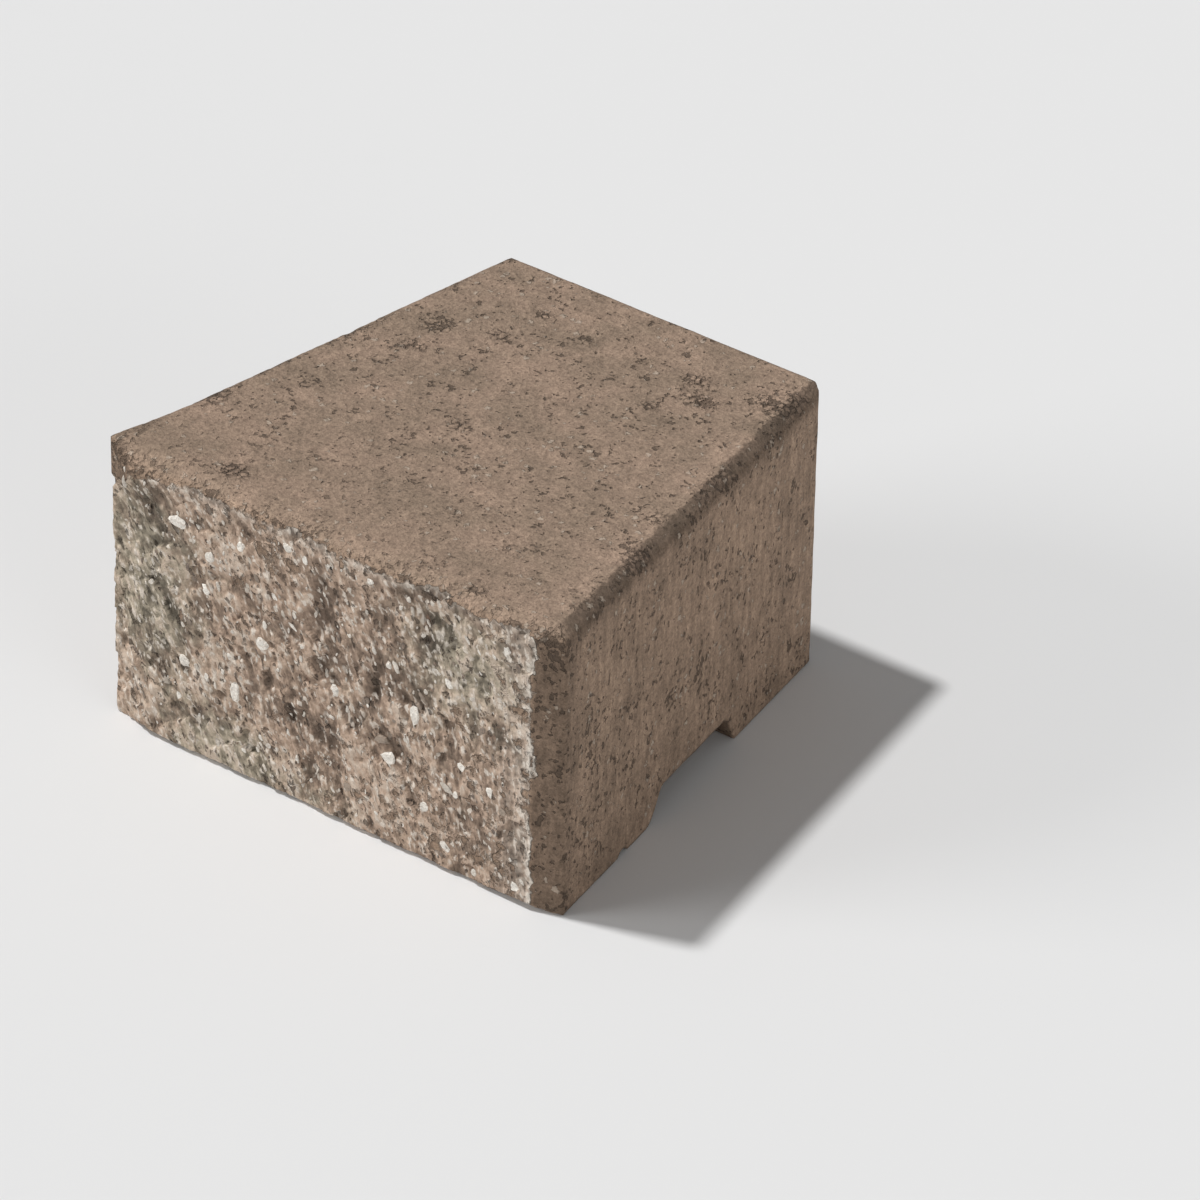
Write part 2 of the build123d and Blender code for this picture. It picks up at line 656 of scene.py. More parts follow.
class LatticeShell:
    """The closed surface of a lattice box whose front has twice the columns and rows.

    A corner is a key of three counts: column in half steps, row of depth, and level in half steps. The
    front uses every half step and the other faces every second one. The faces that touch the front
    have a fifth corner halfway along that border, so that the shell has no gaps.
    """

    def __init__(self, columns: int, rows: int, levels: int) -> None:
        """Lists the faces and the corners that they use.

        Args:
            columns: whole steps across.
            rows: steps along the depth.
            levels: whole steps up.
        """
        self.fine_columns = 2 * columns
        self.rows = rows
        self.fine_levels = 2 * levels
        quads = np.concatenate([self.patch(side) for side in Side])
        fans = np.concatenate([self.border(side) for side in Side if side not in (Side.FRONT, Side.BACK)])
        loops = np.concatenate([quads.ravel(), fans.ravel()])
        keys, self.loops = np.unique(loops, return_inverse=True)
        self.loop_starts = np.concatenate(
            [np.arange(len(quads)) * 4, quads.size + np.arange(len(fans)) * 5]
        )
        self.column, rest = np.divmod(keys, (rows + 1) * (self.fine_levels + 1))
        self.row, self.level = np.divmod(rest, self.fine_levels + 1)

    def key(self, column: np.ndarray | int, row: np.ndarray | int, level: np.ndarray | int) -> np.ndarray:
        """Packs column, row and level into one number."""
        return (column * (self.rows + 1) + row) * (self.fine_levels + 1) + level

    def grid(self, side: Side, first_row: int = 0) -> np.ndarray:
        """Lays the keys of one face out as a grid.

        Args:
            side: the face.
            first_row: row of depth to begin with.

        Returns:
            Keys by column, row or level, two of the three.
        """
        step = 1 if side is Side.FRONT else 2
        columns = np.arange(0, self.fine_columns + 1, step)[:, None]
        rows = np.arange(first_row, self.rows + 1)
        levels = np.arange(0, self.fine_levels + 1, step)[None, :]
        if side in (Side.FRONT, Side.BACK):
            return self.key(columns, 0 if side is Side.FRONT else self.rows, levels)
        if side in (Side.RIGHT, Side.LEFT):
            return self.key(self.fine_columns if side is Side.RIGHT else 0, rows[:, None], levels)
        return self.key(columns, rows[None, :], self.fine_levels if side is Side.TOP else 0)

    def patch(self, side: Side) -> np.ndarray:
        """Lists the four-sided faces of one side, apart from the row that borders the front.

        Args:
            side: the side of the box.

        Returns:
            Rows of four keys, in the order that makes the face look outwards.
        """
        keys = self.grid(side, 1)
        quads = np.stack([keys[:-1, :-1], keys[1:, :-1], keys[1:, 1:], keys[:-1, 1:]], axis=-1)
        quads = quads.reshape(-1, 4)
        return quads[:, ::-1] if side.turned else quads

    def border(self, side: Side) -> np.ndarray:
        """Lists the five-sided faces between the front's fine edge and a side's first whole row.

        Args:
            side: a side that touches the front.

        Returns:
            Rows of five keys, in the order that makes the face look outwards.
        """
        upright = side in (Side.RIGHT, Side.LEFT)
        steps = np.arange((self.fine_levels if upright else self.fine_columns) + 1)
        far_end = side in (Side.RIGHT, Side.TOP)
        if upright:
            column = self.fine_columns if far_end else 0
            near, far = self.key(column, 0, steps), self.key(column, 1, steps[::2])
        else:
            level = self.fine_levels if far_end else 0
            near, far = self.key(steps, 0, level), self.key(steps[::2], 1, level)
        fans = np.stack([near[:-2:2], far[:-1], far[1:], near[2::2], near[1::2]], axis=-1)
        return fans if side in (Side.RIGHT, Side.BOTTOM) else fans[:, ::-1]


def round_over(
    first: np.ndarray, second: np.ndarray, radius: float | np.ndarray, cosine: float = 0.0
) -> tuple[np.ndarray, np.ndarray]:
    """Rounds the edge where two faces meet.

    The arc is about the line that lies a radius inside both faces. A point outside the arc, and between
    the faces' normals as seen from that line, is drawn in to the arc.

    Args:
        first: distances inside the one face.
        second: distances inside the other.
        radius: radius of the edge.
        cosine: cosine of the angle between the two faces' normals.

    Returns:
        The two distances after rounding.
    """
    least = 1e-18  # keeps the root and the division away from nothing
    over_first, over_second = radius - first, radius - second
    between = (over_first > cosine * over_second) & (over_second > cosine * over_first)
    square = over_first**2 + over_second**2 - 2.0 * cosine * over_first * over_second
    reach = np.sqrt(np.maximum(square / (1.0 - cosine**2), least))
    outside = between & (reach > radius)
    share = np.where(outside, radius / reach, 1.0)
    return radius - over_first * share, radius - over_second * share


def build_mesh(
    name: str, points: np.ndarray, loops: np.ndarray, loop_starts: np.ndarray, smooth: bool
) -> bpy.types.Object:
    """Puts arrays into a new mesh object at the origin.

    Args:
        name: the object's name.
        points: rows of x, y and z in metres.
        loops: corner indices of all faces, one face after another.
        loop_starts: where each face begins in loops.
        smooth: whether faces are shaded as one surface.

    Returns:
        The object, linked to the scene.
    """
    mesh = bpy.data.meshes.new(name)
    mesh.vertices.add(len(points))
    mesh.vertices.foreach_set("co", points.astype(np.float32).ravel())
    mesh.loops.add(len(loops))
    mesh.loops.foreach_set("vertex_index", loops.astype(np.int32))
    mesh.polygons.add(len(loop_starts))
    mesh.polygons.foreach_set("loop_start", loop_starts.astype(np.int32))
    mesh.polygons.foreach_set("use_smooth", np.full(len(loop_starts), smooth))
    mesh.update(calc_edges=True)
    mesh.validate()
    piece = bpy.data.objects.new(name, mesh)
    bpy.context.scene.collection.objects.link(piece)
    return piece


def paint(piece: bpy.types.Object, name: str, values: np.ndarray) -> None:
    """Stores a number or a place for each vertex, under a name that materials read.

    Args:
        piece: the mesh object.
        name: name of the mask.
        values: one number for each vertex, or rows of x, y and z.
    """
    kind, key = ("FLOAT", "value") if values.ndim == 1 else ("FLOAT_VECTOR", "vector")
    layer = piece.data.attributes.new(name, kind, "POINT")
    layer.data.foreach_set(key, values.astype(np.float32).ravel())


def vertex_normals(points: np.ndarray, loops: np.ndarray, loop_starts: np.ndarray) -> np.ndarray:
    """Adds up, at each vertex, the cross product of the diagonals of every face that meets there.

    Args:
        points: rows of x, y and z.
        loops: corner indices of all faces.
        loop_starts: where each face begins in loops.

    Returns:
        Outward directions of length 1.
    """
    ends = np.append(loop_starts[1:], len(loops))
    a, b, c, d = (points[loops[loop_starts + corner]] for corner in range(4))
    face_normals = np.cross(c - a, d - b)
    face_of_loop = np.repeat(np.arange(len(loop_starts)), ends - loop_starts)
    total = np.stack(
        [np.bincount(loops, face_normals[face_of_loop, axis], len(points)) for axis in range(3)], axis=1
    )
    least_length = 1e-12  # keeps a vertex without an area from dividing by nothing
    return total / np.maximum(np.linalg.norm(total, axis=1, keepdims=True), least_length)


class Coat(Enum):
    """What a face of the block shows: all skin, all torn, or the border where the two meet."""

    SKIN = (0, "moulded_skin")
    TEAR = (1, "split_tear")
    BORDER = (2, "split_border")

    def __init__(self, index: int, finish_name: str) -> None:
        """Takes apart the place among the block's materials and the material's name."""
        self.index = index
        self.finish_name = finish_name


@dataclass
class BlockBody:
    """The block itself: one closed surface with its moulded forms, its torn front and its worn edges."""

    low: np.ndarray  # lowest corner of the CAD box
    high: np.ndarray  # highest corner
    pitch: float = 2.15 * MM
    front_fade: float = 0.024  # how far back the lattice follows the torn front
    skin_relief: float = 0.30 * MM
    skin_length: float = 0.014
    front_share: float = 0.25  # of the skin's relief that the front takes
    crumble_depth: float = 1.1 * MM
    crumb_length: float = 0.0052
    crumb_share: float = 0.15  # added to the field, so that pits cover more than half of a spot
    crumb_top: tuple[float, float] = (12.0 * MM, 2.0 * MM)  # below the top: where spots end, are whole
    crumb_edge: tuple[float, float] = (20.0 * MM, 10.0 * MM)  # the same for the bands over the arrises
    crumb_band: tuple[float, float, float] = (2.0 * MM, 9.0 * MM, 0.75)  # past the arris, reach and share
    crumb_patches: tuple[float, float] = (0.030, 0.55)  # length and mean share of the bands' patches
    crumb_most: float = 1.4
    wear_low: float = 0.7 * MM
    wear_high: float = 2.3 * MM
    wear_length: float = 0.012
    low_side_wear: float = 0.8  # share of the wear that the low side edges take
    low_front_wear: float = 0.5  # and the low front edge
    notch_arris_radius: float = 4.0 * MM
    back_corner_extra: float = 5.5 * MM  # how much rounder the two upright back edges are
    sharp_corner: float = 0.75  # share of its radius that the left arris loses at the front
    sharp_corner_reach: float = 0.030
    arris_band: tuple[float, float] = (0.022, 0.013)  # from the arris: where its band ends, is whole
    arris_start: tuple[float, float] = (4.0 * MM, 20.0 * MM)  # behind the front: where it starts, is whole
    arris_limit: float = 40.0  # millimetres past the arris that are still told apart
    # the left arris faces the key lamp, so its band takes less painted shade
    left_arris_share: float = 0.35  # of the band's darkness that the left arris has
    wall_lean: tuple[float, float] = (0.75, 0.35)  # a normal's upward share: where walls start, are whole
    strip_border: float = 1.0 * MM  # depth of the notch from which its strip is whole
    strip_depth: tuple[float, float] = (26.0 * MM, 4.0 * MM)  # behind the front: where strips end, are whole
    # pale rims of the tear: crushed matrix, and painted highlight where they catch the light
    crushed_and_highlight_side: tuple[float, float] = (0.6 * MM, 2.1 * MM)  # inside the tear's right end, and reach
    crushed_and_highlight_wide: tuple[float, float] = (13.0 * MM, 0.38)  # reach and share of its paler surroundings
    crushed_and_highlight_top: tuple[float, float, float] = (1.0 * MM, 2.6 * MM, 0.36)  # below the top, reach and share
    brow_depth: tuple[float, float] = (14.0 * MM, 6.0 * MM)  # behind the front: where it ends, is whole
    smooth_front: float = 0.35  # share of its specks that the top lacks near the front
    smooth_front_place: tuple[float, float] = (0.080, 0.030)  # behind the front plane
    brow_reach: float = 7.0 * MM  # how far the crushed zone spreads from the top border of the tear
    bare_skin: float = -2.5 * MM  # what the mask of the tear says away from the front
    bare_margin: float = 2.0 * MM  # added to the mask well below the top edge, where all is torn
    margin_place: tuple[float, float] = (0.005, 0.013)  # below the top: where that starts, is whole
    margin_depth: float = 1.5 * MM  # of the tear behind the notch, from which it is whole
    skin_limit: float = -1.30 * MM  # faces below this are all skin
    tear_limit: float = 1.40 * MM  # faces above this are all torn

    def __post_init__(self) -> None:
        """Makes the moulded form and the torn front, and draws the field of the wear."""
        size = self.high - self.low
        self.form = MouldedForm(width=size[0], height=size[2])
        self.front_plane = self.high[1] - self.form.depth
        self.split = SplitSurface(self.form.width / 2.0, self.form.height)
        self.wear = GradientNoise(59)

    def front_depth(self, x: np.ndarray, z: np.ndarray) -> np.ndarray:
        """Depth of the front: the furthest back of the torn surface, the notch and the worn foot.

        Args:
            x: places across.
            z: heights.

        Returns:
            Depth behind the front plane.
        """
        depths = (self.split.tear(x, z).depth, self.form.notch(x), self.split.foot(x, z))
        return np.maximum.reduce(depths)

    def side_radius(self, x: np.ndarray, y: np.ndarray) -> np.ndarray:
        """Radius of the side arrises, less at the left near the front, where the corner is sharp."""
        sharp = self.sharp_corner * bell(y, self.sharp_corner_reach) * (x < 0.0)
        return self.form.arris_radius * (1.0 - sharp)

    def wear_radius(self, points: np.ndarray) -> np.ndarray:
        """Radius that wear gives to a sharp edge: it wanders between its low and high values."""
        share = 0.5 + 0.5 * self.wear.layered(points / self.wear_length, 3)
        return self.wear_low + (self.wear_high - self.wear_low) * np.clip(share, 0.0, 1.0)

    def lattice_places(self, shell: LatticeShell, stations: np.ndarray) -> tuple[np.ndarray, ...]:
        """Carries the lattice's corners to the moulded form, in depths from the front plane.

        Args:
            shell: the lattice.
            stations: depth of each row.

        Returns:
            x, y and z.
        """
        across = shell.column / shell.fine_columns * 2.0 - 1.0
        up = shell.level / shell.fine_levels
        station = stations[shell.row]
        fade = np.clip(1.0 - station / self.front_fade, 0.0, 1.0)
        half_front = self.form.width / 2.0
        front = self.front_depth(across * half_front, up * self.form.height)
        y = station + front * fade
        x = across * self.form.half_width(y)
        floor = self.form.underside(y)
        z = floor + up * (self.form.height - floor)
        inside, below = round_over(
            self.form.half_width(y) - np.abs(x), self.form.height - z, self.side_radius(x, y)
        )
        x = np.sign(x) * (self.form.half_width(y) - inside)
        z = self.form.height - below
        y = station + self.front_depth(x, z) * fade
        return x, y, z

    def wear_edges(self, x: np.ndarray, y: np.ndarray, z: np.ndarray) -> np.ndarray:
        """Rounds the notches' arrises, and every edge that the mould left sharp by its wandering radius.

        Args:
            x: places across.
            y: depths from the front plane.
            z: heights.

        Returns:
            Rows of x, y and z, worn.
        """
        form = self.form
        radius = self.wear_radius(in_space(x, y, z))
        side = np.sign(x)
        half = form.half_width(y)
        slant = math.atan2(form.notch_depth, form.notch_width)
        behind_notch = (y - form.notch(x)) * math.cos(slant)
        inside, behind_notch = round_over(
            half - np.abs(x), behind_notch, self.notch_arris_radius, math.sin(slant)
        )
        x = side * (half - inside)
        y = form.notch(x) + behind_notch / math.cos(slant)
        inside, from_back = round_over(half - np.abs(x), form.depth - y, radius + self.back_corner_extra)
        x, y = side * (half - inside), form.depth - from_back
        below, from_back = round_over(form.height - z, form.depth - y, radius)
        z, y = form.height - below, form.depth - from_back
        floor, half = form.underside(y), form.half_width(y)
        above, inside = round_over(z - floor, half - np.abs(x), self.low_side_wear * radius)
        z, x = floor + above, side * (half - inside)
        above, from_back = round_over(z, form.depth - y, radius)
        z, y = above, form.depth - from_back
        front = self.front_depth(x, z)
        above, behind = round_over(z, y - front, self.low_front_wear * radius)
        near_toe = y < form.toe_length
        z, y = np.where(near_toe, above, z), np.where(near_toe, front + behind, y)
        return in_space(x, y, z)

    def build(self) -> bpy.types.Object:
        """Makes the block's mesh and paints what its finish reads.

        Returns:
            The finished mesh object, without a material.
        """
        form = self.form
        stations = form.stations(self.pitch)
        columns = round(form.width / self.pitch)
        levels = round(form.height / self.pitch)
        shell = LatticeShell(columns, len(stations) - 1, levels)
        x, y, z = self.lattice_places(shell, stations)
        behind = y - form.notch(x)
        below = form.height - z
        radius = form.front_radius(x)
        torn = self.split.tear(x, z).depth - form.notch(x)
        bare = radius - np.hypot(np.clip(radius - torn, 0.0, None), np.clip(radius - below, 0.0, None))
        margin = smooth_step(*self.margin_place, below) * smooth_step(0.0, self.margin_depth, torn)
        bare += self.bare_margin * margin
        behind, below = round_over(behind, below, radius)
        y, z = form.notch(x) + behind, form.height - below
        points = self.wear_edges(x, y, z)
        relief = self.skin(points)
        normals = vertex_normals(points, shell.loops, shell.loop_starts)
        on_front = shell.row == 0
        points -= normals * np.where(on_front, self.front_share, 1.0)[:, None] * relief[:, None]
        points[:, 1] += self.front_plane
        points = np.clip(points, self.low, self.high)
        piece = build_mesh("cap_block_body", points, shell.loops, shell.loop_starts, smooth=True)
        bare = np.where(on_front, bare, self.bare_skin)
        self.paint_masks(piece, x, y, z, bare, normals)
        at_corners = bare[shell.loops]
        lowest = np.minimum.reduceat(at_corners, shell.loop_starts)
        highest = np.maximum.reduceat(at_corners, shell.loop_starts)
        coats = np.full(len(shell.loop_starts), Coat.BORDER.index)
        coats[highest < self.skin_limit] = Coat.SKIN.index
        coats[lowest > self.tear_limit] = Coat.TEAR.index
        piece.data.polygons.foreach_set("material_index", coats.astype(np.int32))
        return piece

    def skin(self, points: np.ndarray) -> np.ndarray:
        """How far the moulded skin lies in: gentle waves, and pits where the top has crumbled.

        Args:
            points: rows of x, y and z.

        Returns:
            Depths below the form, in metres.
        """
        waves = 0.5 + 0.5 * self.wear.layered(points / self.skin_length, 2)
        crumbs = self.wear.layered(points / self.crumb_length, 2)
        pits = np.clip(crumbs + self.crumb_share, 0.0, 1.0)
        return self.skin_relief * waves + self.crumble_depth * self.crumbled(*points.T) * pits

    def crumbled(self, x: np.ndarray, y: np.ndarray, z: np.ndarray) -> np.ndarray:
        """Share of crumbling: the placed spots on the top, and the bands over its two side arrises.

        A band is a bell of the distance past its arris, and noise breaks it into patches.

        Args:
            x: places across.
            y: depths from the front plane.
            z: heights.

        Returns:
            Shares from 0 up.
        """
        below = self.form.height - z
        past_arris, reach, share = self.crumb_band
        patch_length, patch_share = self.crumb_patches
        spots = sum(spot.cover(x, y) for spot in CRUMBLED_SPOTS)
        past = self.form.half_width(y) - np.abs(x) - below
        patchy = np.clip(patch_share + self.wear.value(in_space(x, y, z) / patch_length), 0.0, 1.0)
        band = share * bell(past - past_arris, reach) * smooth_step(*self.crumb_edge, below)
        on_top = smooth_step(*self.crumb_top, below)
        return np.clip(on_top * spots + band * patchy, 0.0, self.crumb_most)

    def crushed_and_highlight(self, x: np.ndarray, z: np.ndarray, below: np.ndarray) -> np.ndarray:
        """Share of pale rim, partly crushed matrix and partly painted highlight: bells of the distance from
        the tear's right end and its top.

        The right end is where the notch is as deep as the tear.

        Args:
            x: places across.
            z: heights.
            below: distances below the tear's top border.

        Returns:
            Shares from 0 to 1.
        """
        form = self.form
        inside, reach = self.crushed_and_highlight_side
        wide_reach, wide_share = self.crushed_and_highlight_wide
        below_top, top_reach, top_share = self.crushed_and_highlight_top
        depth = self.split.tear(x, z).depth
        from_end = form.width / 2.0 - form.notch_width * (1.0 - depth / form.notch_depth) - x
        side = np.maximum(bell(from_end - inside, reach), wide_share * bell(from_end, wide_reach))
        return np.maximum(side * (x > 0.0), top_share * bell(below - below_top, top_reach))

    def paint_masks(
        self, piece: bpy.types.Object, x: np.ndarray, y: np.ndarray, z: np.ndarray,
        bare: np.ndarray, normals: np.ndarray,
    ) -> None:
        """Paints the masks that the finish reads.

        Args:
            piece: the block.
            x: places across.
            y: depths from the front plane.
            z: heights.
            bare: how far the tear lies below the moulded skin, less than 0 on the skin.
            normals: outward directions.
        """
        form, radius = self.form, self.form.arris_radius
        tear = self.split.tear(x, z)
        from_side, from_top = form.half_width(y) - np.abs(x), form.height - z
        drop = radius - np.sqrt(radius**2 - np.clip(radius - tear.depth, 0.0, radius) ** 2)
        below = from_top - drop
        wall = smooth_step(*self.wall_lean, np.abs(normals[:, 2]))
        in_notch = smooth_step(0.0, self.strip_border, form.notch(x))
        # the strip mask marks the notch flanks, which the skin darkens with painted shade
        strip = in_notch * smooth_step(*self.strip_depth, y) * wall
        near_arris = smooth_step(*self.arris_band, np.minimum(from_side, from_top))
        # the left arris, which faces the key lamp, takes less of the band's painted shade
        at_side = np.where(x > 0.0, 1.0, self.left_arris_share)
        on_top = 1.0 - self.smooth_front * smooth_step(*self.smooth_front_place, y)
        nothing = np.zeros_like(x)
        masks = {
            "bare": bare / MM,
            # the finish darkens hollows with painted shade and lightens what stands out with painted
            # highlight
            "hollow": tear.hollow / MM,
            # pale rims: crushed matrix and painted highlight
            "edge": self.crushed_and_highlight(x, z, below),
            "brow": bell(below, self.brow_reach) * smooth_step(*self.brow_depth, y),
            "grey": sum(spot.cover(x, z) for spot in GREY_PATCHES),
            "wall": wall,
            "arris": np.clip((from_side - from_top) / MM, -self.arris_limit, self.arris_limit),
            "strip": strip,
            # share of the arris band, whose painted shade is less on the left arris
            "arris_share": smooth_step(*self.arris_start, y) * near_arris * at_side,
            "rough": wall + (1.0 - wall) * on_top,
            "crumble": self.crumbled(x, y, z),
            "grain": self.split.grain(x, z) + in_space(nothing, y, nothing),
        }
        for name, values in masks.items():
            paint(piece, name, values)


class Kind(Enum):
    """Kinds of stone in the concrete: name, seed, number strewn and the listed chips."""

    QUARTZ = ("quartz_chips", 71, 420, PALE_CHIPS)
    GRAVEL = ("gravel_chips", 83, 260, DARK_CHIPS)

    def __init__(self, piece_name: str, seed: int, strewn: int, chosen: tuple[Chip, ...]) -> None:
        """Takes the four values apart.

        Args:
            piece_name: name of the mesh object.
            seed: starts the random draws.
            strewn: how many stones are strewn.
            chosen: the listed chips.
        """
        self.piece_name = piece_name
        self.seed = seed
        self.strewn = strewn
        self.chosen = chosen


@dataclass
class ChipBed:
    """Broken stones that stand out of the torn face, each a small closed body."""

    kind: Kind
    body: BlockBody  # gives the depth of the face
    around: int = 10
    ring_tilts: tuple[float, ...] = (42.0, 88.0, 138.0)  # degrees from the way that the stone faces
    planes: int = 9
    plane_spread: float = 0.55  # share of the planes' tilt to the front that is kept
    smallest: float = 0.50 * MM  # half breadth
    largest: float = 1.35 * MM
    flatness: float = 0.55  # thickness against breadth
    plumpness: float = 1.35  # makes up for what the planes cut off
    standing_out: float = 0.30  # share of the half breadth by which the middle may stand before or behind
    clear_of_sides: float = 0.011
    clear_of_foot: float = 0.006
    clear_of_top: float = 0.010
    size_power: int = 4
    stretch: tuple[float, float] = (1.0, 2.6)  # length against breadth: least, most
    lean: tuple[float, float] = (math.radians(20.0), 0.35)  # mean and spread
    plane_places: tuple[float, float] = (0.50, 1.0)  # of half breadth: nearest, furthest
    front_place: float = 0.62  # of the plane that faces the front
    least_cosine: float = 0.15  # planes that slant away more than this cut nothing
    furthest: float = 1.15
    setting: tuple[float, float] = (-0.6, 1.0)  # shares of standing_out: furthest before, behind the face
    tones: tuple[float, float] = (0.3, 1.0)
    chosen_tone: float = 0.3  # factor for the listed chips
    inside_box: float = 0.02 * MM

    def __post_init__(self) -> None:
        """Starts the kind's own random draws."""
        self.draws = np.random.default_rng(self.kind.seed)

    def strew(self) -> np.ndarray:
        """Rows of across, up, half breadth, half length and lean, for chosen and strewn stones.

        Small stones are common: the size follows the fourth power of an even draw. The strewn ones keep
        clear of the face's edges.

        Returns:
            One row for each stone, in metres and radians.
        """
        form, number, even = self.body.form, self.kind.strewn, self.draws.uniform
        reach = form.width / 2.0 - self.clear_of_sides
        across = even(-reach, reach - form.notch_width / 2.0, number)
        up = even(self.clear_of_foot, form.height - self.clear_of_top, number)
        share = self.draws.random(number) ** self.size_power
        half = self.smallest + (self.largest - self.smallest) * share
        stretch = even(*self.stretch, number)
        lean = self.draws.normal(*self.lean, number)
        strewn = np.stack([across, up, half, half * stretch, lean], axis=1)
        chosen = np.array(
            [[c.across, c.up, c.breadth / 2, c.length / 2, math.radians(c.lean)] for c in self.kind.chosen]
        )
        return np.concatenate([chosen, strewn])

    def directions(self) -> np.ndarray:
        """Works out the directions of a body's corners.

        Returns:
            The pole towards the front, rings round it and the far pole.
        """
        turn = np.arange(self.around) * (2.0 * math.pi / self.around)
        tilt = np.radians(self.ring_tilts)[:, None]
        forward = np.broadcast_to(-np.cos(tilt), (len(self.ring_tilts), self.around))
        ring = np.stack([np.sin(tilt) * np.cos(turn), forward, np.sin(tilt) * np.sin(turn)], axis=-1)
        pole = np.array([[0.0, 1.0, 0.0]])
        return np.concatenate([-pole, ring.reshape(-1, 3), pole])

    def faces(self) -> tuple[np.ndarray, np.ndarray]:
        """Lists one body's faces: a fan at the front pole, bands between rings and a far fan.

        Returns:
            Corners of the triangles and of the four-sided faces.
        """
        spoke = np.arange(self.around)
        following = (spoke + 1) % self.around
        last = 1 + len(self.ring_tilts) * self.around
        near_fan = np.stack([np.zeros_like(spoke), 1 + spoke, 1 + following], axis=1)
        starts = 1 + self.around * np.arange(len(self.ring_tilts) - 1)[:, None]
        near, next_near = starts + spoke, starts + following
        bands = np.stack([near, near + self.around, next_near + self.around, next_near], axis=-1)
        far = last - self.around
        far_fan = np.stack([far + spoke, np.full_like(spoke, last), far + following], axis=1)
        return np.concatenate([near_fan, far_fan]), bands.reshape(-1, 4)

    def bodies(self, stones: np.ndarray, ways: np.ndarray) -> np.ndarray:
        """Breaks one body for each stone.

        A body is the space inside a ring of random planes and one plane that faces the front: along a
        direction it ends at the nearest plane, which is the plane's distance divided by the cosine
        between the two. It is then drawn out to the stone's half sizes and leaned.

        Args:
            stones: rows of across, up, half breadth, half length and lean.
            ways: directions of a body's corners.

        Returns:
            Corners about each body's middle, by stone and direction.
        """
        shape = (len(stones), self.planes)
        facing = self.draws.normal(size=(*shape, 3)) * (1.0, self.plane_spread, 1.0)
        facing /= np.linalg.norm(facing, axis=2, keepdims=True)
        facing[:, 0] = (0.0, -1.0, 0.0)
        offsets = self.draws.uniform(*self.plane_places, shape)
        offsets[:, 0] = self.front_place
        cosines = np.einsum("dk,npk->ndp", ways, facing)
        ends = offsets[:, None, :] / np.maximum(cosines, self.least_cosine)
        reaches = np.where(cosines > self.least_cosine, ends, self.furthest).min(axis=2)
        half_sizes = np.stack([stones[:, 2], self.flatness * stones[:, 2], stones[:, 3]], axis=1)
        bodies = ways[None] * reaches[:, :, None] * (self.plumpness * half_sizes[:, None, :])
        sine, cosine = np.sin(stones[:, 4])[:, None], np.cos(stones[:, 4])[:, None]
        x, y, z = np.moveaxis(bodies, 2, 0)
        return np.stack([x * cosine - z * sine, y, x * sine + z * cosine], axis=-1)

    def build(self) -> bpy.types.Object:
        """Makes all stones of the kind as one mesh.

        Returns:
            The mesh object, with one tone for each stone.
        """
        stones = self.strew()
        number, ways = len(stones), self.directions()
        bodies = self.bodies(stones, ways)
        across, up, half = stones[:, 0], stones[:, 1], stones[:, 2]
        face = self.body.front_depth(across, up)
        set_in = self.standing_out * half * self.draws.uniform(*self.setting, number)
        middles = in_space(across, face + set_in + self.body.front_plane, up)
        points = (bodies + middles[:, None, :]).reshape(-1, 3)
        points = np.clip(points, self.body.low + self.inside_box, self.body.high)
        shift = (np.arange(number) * len(ways))[:, None, None]
        triangles, quads = (corners[None] + shift for corners in self.faces())
        loops = np.concatenate([triangles.ravel(), quads.ravel()])
        quad_starts = triangles.size + np.arange(0, quads.size, 4)
        starts = np.concatenate([np.arange(0, triangles.size, 3), quad_starts])
        piece = build_mesh(self.kind.piece_name, points, loops, starts, smooth=False)
        tones = self.draws.uniform(*self.tones, number)
        tones[: len(self.kind.chosen)] *= self.chosen_tone
        paint(piece, "tone", np.repeat(tones, len(ways)))
        return piece


Triple = tuple[float, float, float]
Colour = Triple
Length = float | Triple
Socket = bpy.types.NodeSocket


class Noise(NamedTuple):
    """Noise of a real length, or of one length along each axis, and what it does to a surface."""

    length: Length
    detail: float
    roughness: float
    tone: float = 0.0  # how far it swings the brightness about 1
    rise: float = 0.0  # height in millimetres


class Ramp(NamedTuple):
    """A smooth curve from one number to another over a range, held at both ends."""

    low: float
    high: float
    at_low: float = 0.0
    at_high: float = 1.0


class Strewn(NamedTuple):
    """Ragged spots: size of the cells that may hold one, share that does, and radius and bend in cells."""

    cell: float
    share: float
    radius: float
    bend: float


class Grit(NamedTuple):
    """Sandy grain: its length, its light and dark, and its height in millimetres."""

    length: float
    contrast: float
    rise: float


